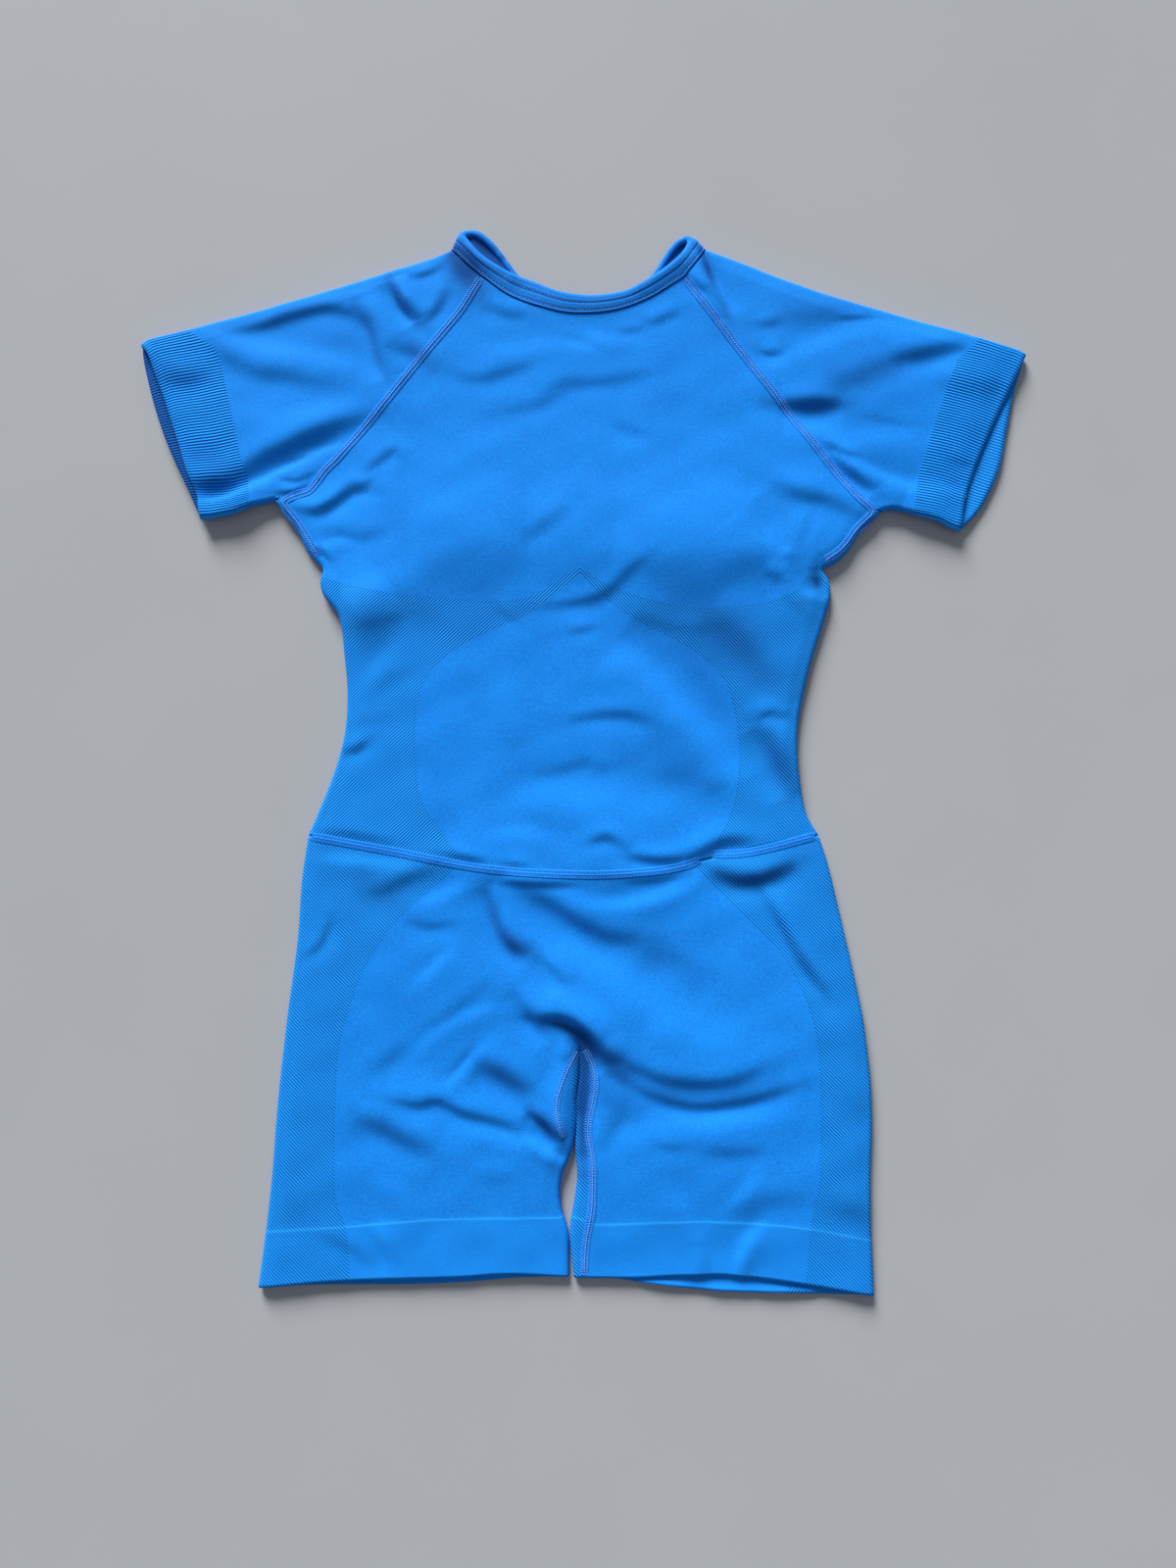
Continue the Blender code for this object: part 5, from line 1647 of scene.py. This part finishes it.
@dataclass
class NeckBinding(Cloth):
    """Folded strip round the neck, with two stitched grooves next to the neck seam."""

    wall: float = 1.8
    rise: float = 0.45
    swell: float = 0.25
    tip_steps: int = 14
    steps: dict[Face, int] = fixed({Face.FRONT: 150, Face.BACK: 110})
    across: int = 26
    groove_places: tuple[float, float] = (0.13, 0.55)
    groove_width: float = 0.055
    groove_depth: float = 0.42
    tuck: float = 0.9
    tip_tuck: float = 1.3
    tip_reach: float = 9.0
    hidden_span: tuple[float, float] = (30.0, 44.0)
    hidden_thinning: float = 0.45
    evening: tuple[int, ...] = (1, 2, 3, 4, 3, 2, 1)
    roll: float = 0.6
    roll_size: dict[Face, tuple[float, float]] = fixed({Face.FRONT: (2.5, 1.7), Face.BACK: (1.9, 1.6)})
    roll_sides: int = 14
    turn_room: int = 3
    turns: dict[Hand, Spots] = fixed({
        Hand.LEFT: ((-68.6, 301.2), (-71.2, 300.6)),
        Hand.RIGHT: ((62.4, 297.6), (60.2, 298)),
    })

    def edges(self, face: Face) -> tuple[Array, Array]:
        """Stations of the neck seam and of the free edge of one layer."""
        half = SEAM_GAP / 2
        start = seam_edge(self.outline.tip[face, Hand.LEFT], self.tip_steps, -half, small_end=True)[::-1]
        middle = seam_edge(self.outline.neck[face], self.steps[face], half, True, True)
        end = seam_edge(self.outline.tip[face, Hand.RIGHT], self.tip_steps, half, small_end=True)
        joined_ends(start, middle, end)
        seam = np.vstack([start, middle[1:], end[1:]])
        free = smooth_path(self.outline.binding[face])
        return seam, at_distances(free, run_of(seam) / run_of(seam)[-1] * run_of(free)[-1])

    def profile(self, share: Array) -> Array:
        """How far the outer face is raised across the strip: a soft roll with two narrow grooves in it."""
        raised = self.roll * np.sin(np.pi * np.clip(share, 0, 1) ** 2.2)
        return raised - self.groove_depth * self.grooves(share)

    def grooves(self, share: Array) -> Array:
        """How far into a groove each place across the strip lies, from 0 to 1."""
        return sum(np.exp(-(((share - place) / self.groove_width) ** 2)) for place in self.groove_places)

    def sheet(self) -> Sheet:
        """Mid-surface: a front and a back grid, joined at the two shoulder tips."""
        layers = {}
        share = np.linspace(0, 1, self.across + 1)[:, None]
        for face in Face:
            seam, free = self.edges(face)
            travel = run_of(free)
            tip = 1 - smoothstep(0, self.tip_reach, np.minimum(travel, travel[-1] - travel))
            inward = (seam - free) / np.linalg.norm(seam - free, axis=1)[:, None]
            free = free + inward * (self.tuck + self.tip_tuck * tip)[:, None]
            grid = seam[None] * (1 - share[..., None]) + free[None] * share[..., None]
            extra = np.full_like(share, (self.wall - self.relief.wall) / 2)
            if face is Face.FRONT:
                extra = self.rise + self.swell * np.sin(np.pi * share)
            layers[face] = self.relief.laid(grid, face, extra)
        for column in (0, -1):
            share_points(layers[Face.FRONT], layers[Face.BACK], slice(None), column)
        shape = layers[Face.FRONT].shape[:2]
        values = {
            "raised": np.broadcast_to(self.profile(share), shape),
            "groove": np.broadcast_to(self.grooves(share), shape),
            # Painted shade near the neck loops.
            "hollow": self.relief.hollow(layers[Face.FRONT][..., :2].reshape(-1, 2)),
        }
        return Sheet.welded([Grid(layers[Face.FRONT], False, values), Grid(layers[Face.BACK], True)])

    def make(self) -> tuple[Made, Sheet, Made]:
        """Builds and dresses the binding and the roll along its free edge."""
        # The inner wall is painted dark: shade inside the neck loops, between the raised edges.
        finish = KnitFinish(
            "binding knit", light=(0.014, 0.245, 0.82), dark=(0.010, 0.180, 0.66), inner_wall_painted_shade=0.85,
            has_ribs=False, has_groove=True,
        )
        material = finish.material()
        made, sheet = self.dressed("neck_binding", "binding_knit", material, self.wall)
        rolled = Made(self.rolled_edge().to_object("neck_binding_roll", material), (), "binding_knit")
        return made, sheet, rolled

    def rolled_edge(self) -> Sheet:
        """Soft roll along the free edge, all round the opening.

        Its line is the front's and the back's free edge moved in by the roll's half width and evened out
        where they meet. Its section is an ellipse, thinner where the back lies under the front.
        """
        lines = []
        for face in Face:
            _, free = self.edges(face)
            free = at_distances(free, np.arange(0, run_of(free)[-1], 1.0))
            is_back = face is Face.BACK
            hidden = (1 - smoothstep(*self.hidden_span, np.abs(free[:, 0]))) * is_back
            across, up = (size * (1 - self.hidden_thinning * hidden) for size in self.roll_size[face])
            plan = free + (moved_aside(free, -1.0) - free) * across[:, None]
            back, front = self.relief.heights(plan)
            z = back + up - self.relief.wall / 2 if is_back else front + self.rise
            line = np.column_stack([plan, z, across, up])[self.turn_room:-self.turn_room]
            lines.append(line[::-1] if is_back else line)
        turns = []
        for first, second, hand in ((lines[0], lines[1], Hand.RIGHT), (lines[1], lines[0], Hand.LEFT)):
            rest = (first[-1, 2:] + second[0, 2:]) / 2
            turns.append(np.array([[*spot, *rest] for spot in self.turns[hand]]))
        ring = smooth_path(np.vstack([lines[0], turns[0], lines[1], turns[1], lines[0][:1]]), 2)[:-1]
        weights = np.array(self.evening) / sum(self.evening)
        ring = sum(np.roll(ring, k - len(weights) // 2, axis=0) * weight for k, weight in enumerate(weights))
        ahead = np.roll(ring, -1, axis=0) - np.roll(ring, 1, axis=0)
        ahead = ahead[:, :2] / np.linalg.norm(ahead[:, :2], axis=1)[:, None]
        turn = np.linspace(0, 2 * np.pi, self.roll_sides, endpoint=False)
        points = np.empty((len(ring), len(turn), 3))
        points[..., 0] = ring[:, :1] - ahead[:, 1:] * ring[:, 3:4] * np.cos(turn)
        points[..., 1] = ring[:, 1:2] + ahead[:, :1] * ring[:, 3:4] * np.cos(turn)
        points[..., 2] = ring[:, 2:3] + ring[:, 4:5] * np.sin(turn)
        points = np.concatenate([points, points[:1]], axis=0)
        return Sheet.welded([Grid(np.concatenate([points, points[:, :1]], axis=1), False)])


class Stitching(Enum):
    """How a seam is sewn: short slanting stitches beside a cord, or two straight rows."""

    LADDER = "ladder"
    STRAIGHT = "straight"


@dataclass
class SeamTape:
    """Flat-lock seam: a narrow raised strip on the cloth, with three ridges and two stitched grooves."""

    name: str
    relief: Relief
    path: Spots
    stitching: Stitching = Stitching.LADDER
    width: float = 5.6
    rise: float = 0.42
    ridge: float = 0.16
    across: int = 20
    groove_share: float = 0.44
    groove_width: float = 0.2
    spacing: float = 0.8
    taper: float = 4.0
    sunk: float = 0.25
    lift: float = 0.0

    def line(self) -> Array:
        """The seam's line in plan."""
        path = smooth_path(self.path)
        count = int(run_of(path)[-1] / self.spacing)
        return at_distances(path, np.linspace(0, run_of(path)[-1], count + 1))

    def profile(self, share: Array) -> Array:
        """Height across the strip, from -1 to 1: three ridges on a low rounded base ending at the cloth."""
        base = self.rise * np.clip(1 - np.abs(share) ** 6, 0, 1)
        ridges = self.ridge * np.cos(share * 2.25 * np.pi) * (1 - share**2)
        return base + ridges

    def sheet(self) -> Sheet:
        """Closed strip: an upper face with the profile and a lower face just inside the cloth."""
        line = self.line()
        run = run_of(line)
        ends = smoothstep(0, 1, np.minimum(run, run[-1] - run) / self.taper)
        share = np.linspace(-1, 1, self.across + 1)
        plan = np.stack([moved_aside(line, -s * self.width / 2) for s in share], axis=1)
        cloth = self.relief.top(plan.reshape(-1, 2)).reshape(plan.shape[:2]) + self.lift
        upper = cloth + self.profile(share)[None] * ends[:, None]
        lower = cloth - self.sunk
        for edge in (0, -1):
            upper[:, edge] = lower[:, edge]
            upper[edge] = lower[edge]
        layers = [np.concatenate([plan, z[..., None]], axis=2) for z in (upper, lower)]
        groove = np.exp(-(((np.abs(share) - self.groove_share) / self.groove_width) ** 2))
        # Painted shade where the strip runs through a shaded fold.
        hollow = self.relief.hollow(plan.reshape(-1, 2))
        values = {"groove": np.broadcast_to(groove, upper.shape), "hollow": hollow}
        return Sheet.welded([Grid(layers[0], False, values), Grid(layers[1], True)])

    def rows(self) -> list[StitchRow]:
        """The strip's stitches."""
        line = self.line()
        if self.stitching is Stitching.STRAIGHT:
            plans = [(share, 0.0, 1.85, 1.35, 0.2) for share in (-self.groove_share, self.groove_share)]
        else:
            plans = [(share, -1.5 * math.copysign(1, share), 1.3, 1.9, 0.15) for share in (-0.5, 0.5)]
            plans.append((0.0, 0.0, 1.6, 1.9, 0.24))
        made = []
        for share, skew, pitch, length, radius in plans:
            path = moved_aside(line, -share * self.width / 2)
            height = float(self.profile(np.array(share))) + self.lift
            made.append(StitchRow(path, self.relief, height, pitch, length, radius, skew=skew))
        return made


@dataclass
class StitchRow:
    """One row of short stitches along a plan path, on the cloth or on a strip."""

    path: Array
    relief: Relief
    height: float
    pitch: float = 1.9
    length: float = 1.5
    radius: float = 0.22
    arch: float = 0.16
    skew: float = 0.0

    def beads(self, first: int) -> tuple[Array, Array]:
        """Points and quads of all the row's stitches.

        Each stitch is a bead with two pointed ends: rings of five points at three places along it, whose
        middle arches up. It is repeated at even distances along the path.

        Args:
            first: number of the first point.

        Returns:
            The points and the quads; a pointed end repeats its corner.
        """
        run = run_of(self.path)
        count = int(run[-1] / self.pitch)
        places = (np.arange(count) + 0.5) * run[-1] / count
        centre = at_distances(self.path, places)
        ahead = at_distances(self.path, np.minimum(places + 0.4, run[-1]))
        behind = at_distances(self.path, np.maximum(places - 0.4, 0))
        z = self.relief.top(np.vstack([centre, ahead, behind])).reshape(3, -1)
        forward = np.column_stack([ahead - behind, z[1] - z[2]])
        forward /= np.linalg.norm(forward, axis=1)[:, None]
        across = np.column_stack([-forward[:, 1], forward[:, 0], np.zeros(count)])
        across /= np.linalg.norm(across, axis=1)[:, None]
        forward = forward + across * self.skew
        forward /= np.linalg.norm(forward, axis=1)[:, None]
        across = np.cross(np.array([0, 0, 1.0]), forward)
        upward = np.cross(forward, across)
        centre = np.column_stack([centre, z[0] + self.height])
        stations = np.array([-1.0, -0.62, 0.0, 0.62, 1.0])
        rounds = np.arange(5) * 2 * np.pi / 5
        size = self.radius * np.sqrt(1 - stations**2)
        local = np.stack([
            np.repeat(stations[:, None] * self.length / 2, 5, axis=1),
            size[:, None] * np.cos(rounds),
            size[:, None] * np.sin(rounds) + (self.arch * (1 - stations**2))[:, None],
        ], axis=-1).reshape(-1, 3)
        points = (
            centre[:, None] + local[None, :, :1] * forward[:, None]
            + local[None, :, 1:2] * across[:, None] + local[None, :, 2:] * upward[:, None]
        )
        index = np.arange(25).reshape(5, 5)
        index[0], index[-1] = index[0, 0], index[-1, 0]
        following = np.roll(index, -1, axis=1)
        quads = np.stack([index[:-1], following[:-1], following[1:], index[1:]], axis=-1).reshape(-1, 4)
        starts = first + np.arange(count) * 25
        return points.reshape(-1, 3), (quads[None] + starts[:, None, None]).reshape(-1, 4)


def stitch_object(name: str, rows: Iterable[StitchRow], finish: ThreadFinish) -> bpy.types.Object:
    """One object of all the stitches of several rows.

    Args:
        name: the name of the object.
        rows: the rows of stitches.
        finish: the finish of the thread.

    Returns:
        The mesh object.
    """
    points, quads = [], []
    first = 0
    for row in rows:
        made, faces = row.beads(first)
        points.append(made)
        quads.append(faces)
        first += len(made)
    sheet = Sheet(np.vstack(points), np.vstack(quads), {})
    used, index = np.unique(sheet.quads, return_inverse=True)
    sheet = Sheet(sheet.points[used], index.reshape(-1, 4), {})
    return sheet.to_object(name, finish.material())


@dataclass
class Seams:
    """All the flat-lock seams, their threads, and the binding's two stitched rows."""

    outline: Outline
    relief: Relief
    binding: NeckBinding
    raglan_left: Spots = (
        (-60.4, 273), (-72.5, 253), (-95.2, 224.2), (-118.4, 193.6), (-142, 164.6), (-149.5, 156.9),
        (-154.8, 149.4), (-158.7, 145), (-165, 142.6), (-171.1, 139.7), (-173, 136.6), (-169, 131),
        (-165, 126), (-160.5, 119), (-156.6, 112.6), (-152.6, 107),
    )
    raglan_right: Spots = (
        (59.8, 272.8), (77, 248.8), (101.2, 216.2), (123.7, 185.8), (143.7, 159), (149.6, 151.6),
        (156.8, 143.2), (161.6, 138.4), (166, 134.4), (166.4, 131), (162.4, 127), (157, 121.4),
        (152, 114.4), (146.4, 108.6), (138.6, 103.4),
    )
    waist_left: Spots = (
        (-153.9, -54.8), (-108.2, -63.2), (-54.4, -73.2), (2.6, -76.6), (40, -74.4), (57, -71.4), (66, -68),
    )
    waist_right: Spots = ((71.5, -64.8), (82.7, -64.8), (94.3, -63.6), (109.9, -60.2), (131.2, -54.4))
    inseam_left: Spots = (
        (-3.4, -174.5), (-8.3, -183.5), (-12.6, -194.2), (-14.8, -202.1), (-14.2, -209.6), (-10.8, -220.4),
    )
    inseam_right: Spots = (
        (0.9, -173.5), (4.2, -179.7), (6.4, -188.8), (5.9, -197.3), (2.9, -212.2), (2.6, -220.7),
        (4.8, -232.9), (4.8, -257.6), (1.5, -278), (0.5, -294.9),
    )

    def tapes(self) -> list[SeamTape]:
        """The seam strips."""
        return [
            SeamTape("raglan_seam_left", self.relief, self.raglan_left),
            SeamTape("raglan_seam_right", self.relief, self.raglan_right),
            SeamTape("waist_seam_left", self.relief, self.waist_left, Stitching.STRAIGHT, 5.2),
            SeamTape("waist_seam_right", self.relief, self.waist_right, Stitching.STRAIGHT, 5.2),
            SeamTape("inseam_left", self.relief, self.inseam_left, width=5.0, rise=0.3, ridge=0.15),
            SeamTape("inseam_right", self.relief, self.inseam_right, width=5.4, rise=0.3, ridge=0.15),
        ]

    def make(self) -> list[Made]:
        """Builds and dresses the strips and their stitches."""
        finish = KnitFinish(
            "seam knit", light=(0.012, 0.262, 0.87), dark=(0.009, 0.200, 0.73), groove_share=0.25,
            has_ribs=False, has_groove=True,
        )
        material = finish.material()
        threads = {
            Stitching.LADDER: ThreadFinish("pale thread"),
            Stitching.STRAIGHT: ThreadFinish("deep thread", (0.060, 0.270, 0.85), (0.020, 0.150, 0.60)),
        }
        made = []
        rows: dict[Stitching, list[StitchRow]] = {kind: [] for kind in Stitching}
        for tape in self.tapes():
            made.append(Made(tape.sheet().to_object(tape.name, material), (), "thread"))
            rows[tape.stitching] += tape.rows()
        for kind, thread in threads.items():
            made.append(Made(stitch_object(f"{kind.value}_stitches", rows[kind], thread), (), "thread"))
        made.append(self.binding_stitches())
        return made

    def binding_stitches(self) -> Made:
        """The two rows of stitches in the binding's grooves, on the front."""
        seam, free = self.binding.edges(Face.FRONT)
        rows = []
        for place in self.binding.groove_places:
            path = seam * (1 - place) + free * place
            extra = self.binding.rise + self.binding.swell * math.sin(math.pi * place)
            height = extra + (self.binding.wall - self.relief.wall) / 2
            height += float(self.binding.profile(np.array(place))) + 0.03
            rows.append(StitchRow(path[4:-4], self.relief, height, length=1.7, radius=0.22))
        piece = stitch_object("binding_stitches", rows, ThreadFinish("binding thread"))
        return Made(piece, (), "thread")


# ---------------------------------------------------------------- floor, light and camera


@dataclass(frozen=True)
class Studio:
    """Plain floor, soft light from the neck side and the camera."""

    floor_size: float = 6.0
    floor_drop: float = 0.0002
    eye: Triple = (0.0027, -0.0832, 0.6694)
    aim: Triple = (0.0027, -0.0242, 0.0)
    lens: float = 27.05
    sensor: float = 36.0
    key_place: Triple = (-1.0, 3.2, 1.45)
    key_angle: float = math.radians(26.0)
    key_strength: float = 6.1
    key_tint: Triple = (1.0, 1.0, 0.97)
    fill_place: Triple = (0.5, -0.6, 2.6)
    fill_size: float = 2.4
    fill_power: float = 3.0
    fill_tint: Triple = (0.95, 0.98, 1.0)
    sky: Triple = (0.86, 0.90, 1.0)
    sky_strength: float = 0.24

    def floor(self) -> bpy.types.Object:
        """Pale floor, a grid of quads a hair below the cloth."""
        half = self.floor_size / 2
        line = np.linspace(-half, half, 9)
        x, y = np.meshgrid(line, line)
        points = np.stack([x, y, np.full_like(x, -self.floor_drop)], axis=-1)
        grid = Grid(points, False)
        mesh = bpy.data.meshes.new("floor")
        mesh.from_pydata(points.reshape(-1, 3).tolist(), [], grid.quads(0).tolist())
        mesh.materials.append(FloorFinish("pale floor").material())
        made = bpy.data.objects.new("floor", mesh)
        bpy.context.scene.collection.objects.link(made)
        return made

    def key(self) -> None:
        """Soft light that falls evenly on the whole floor from the neck side."""
        data = bpy.data.lights.new("key", "SUN")
        data.angle = self.key_angle
        data.energy = self.key_strength
        data.color = self.key_tint
        self.hang(data, self.key_place)

    def fill(self) -> None:
        """Weak square light from above."""
        data = bpy.data.lights.new("fill", "AREA")
        data.shape = "SQUARE"
        data.size = self.fill_size
        data.energy = self.fill_power
        data.color = self.fill_tint
        self.hang(data, self.fill_place)

    def hang(self, data: bpy.types.Light, place: Triple) -> None:
        """Places a light so that it looks at the garment."""
        made = bpy.data.objects.new(data.name, data)
        made.matrix_world = looking(place, (0.0, 0.0, 0.0))
        bpy.context.scene.collection.objects.link(made)

    def world(self) -> None:
        """Even pale sky."""
        world = bpy.data.worlds.new("sky")
        world.use_nodes = True
        shader = world.node_tree.nodes["Background"]
        shader.inputs["Color"].default_value = (*self.sky, 1.0)
        shader.inputs["Strength"].default_value = self.sky_strength
        bpy.context.scene.world = world

    def camera(self) -> None:
        """Camera above the garment, a little on the hem side."""
        data = bpy.data.cameras.new("camera")
        data.lens = self.lens
        data.sensor_width = self.sensor
        data.clip_start = 0.01
        made = bpy.data.objects.new("camera", data)
        made.matrix_world = looking(self.eye, self.aim)
        bpy.context.scene.collection.objects.link(made)
        bpy.context.scene.camera = made

    def make(self) -> None:
        """Sets the whole studio up."""
        self.floor()
        self.key()
        self.fill()
        self.world()
        self.camera()
        bpy.context.scene.view_settings.view_transform = "Standard"


def looking(eye: Sequence[float], aim: Sequence[float]) -> Matrix:
    """Placement of an object whose -Z looks from eye to aim, with its +Y as near world +Y as it can be."""
    back = (Vector(eye) - Vector(aim)).normalized()
    right = Vector((0.0, 1.0, 0.0)).cross(back).normalized()
    up = back.cross(right)
    turn = Matrix((right, up, back)).transposed().to_4x4()
    return Matrix.Translation(Vector(eye)) @ turn


def clear_scene() -> None:
    """Removes whatever is in the scene."""
    for old in list(bpy.data.objects):
        bpy.data.objects.remove(old, do_unlink=True)


def main() -> None:
    """Builds the garment piece by piece, then the studio."""
    logging.basicConfig(level=logging.INFO, format="%(name)s %(message)s")
    clear_scene()
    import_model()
    studio = Studio()
    studio.make()
    outline = Outline()
    relief = Relief(outline)
    knit = KnitMap()
    cloth = {
        "bodice": (Bodice(outline, relief, knit), (0.690, 0.357)),
        "sleeve_left": (Sleeve(outline, relief, Hand.LEFT), (0.240, 0.200)),
        "sleeve_right": (Sleeve(outline, relief, Hand.RIGHT), (0.240, 0.200)),
        "shorts": (Shorts(outline, relief, knit), (0.680, 0.250)),
    }
    for maker, flat in cloth.values():
        made, sheet = maker.make()
        piece = register(made)
    binding = NeckBinding(outline, relief)
    made, sheet, rolled = binding.make()
    register(made)
    register(rolled)
    for made in Seams(outline, relief, binding).make():
        register(made)


if __name__ == "__main__":
    main()
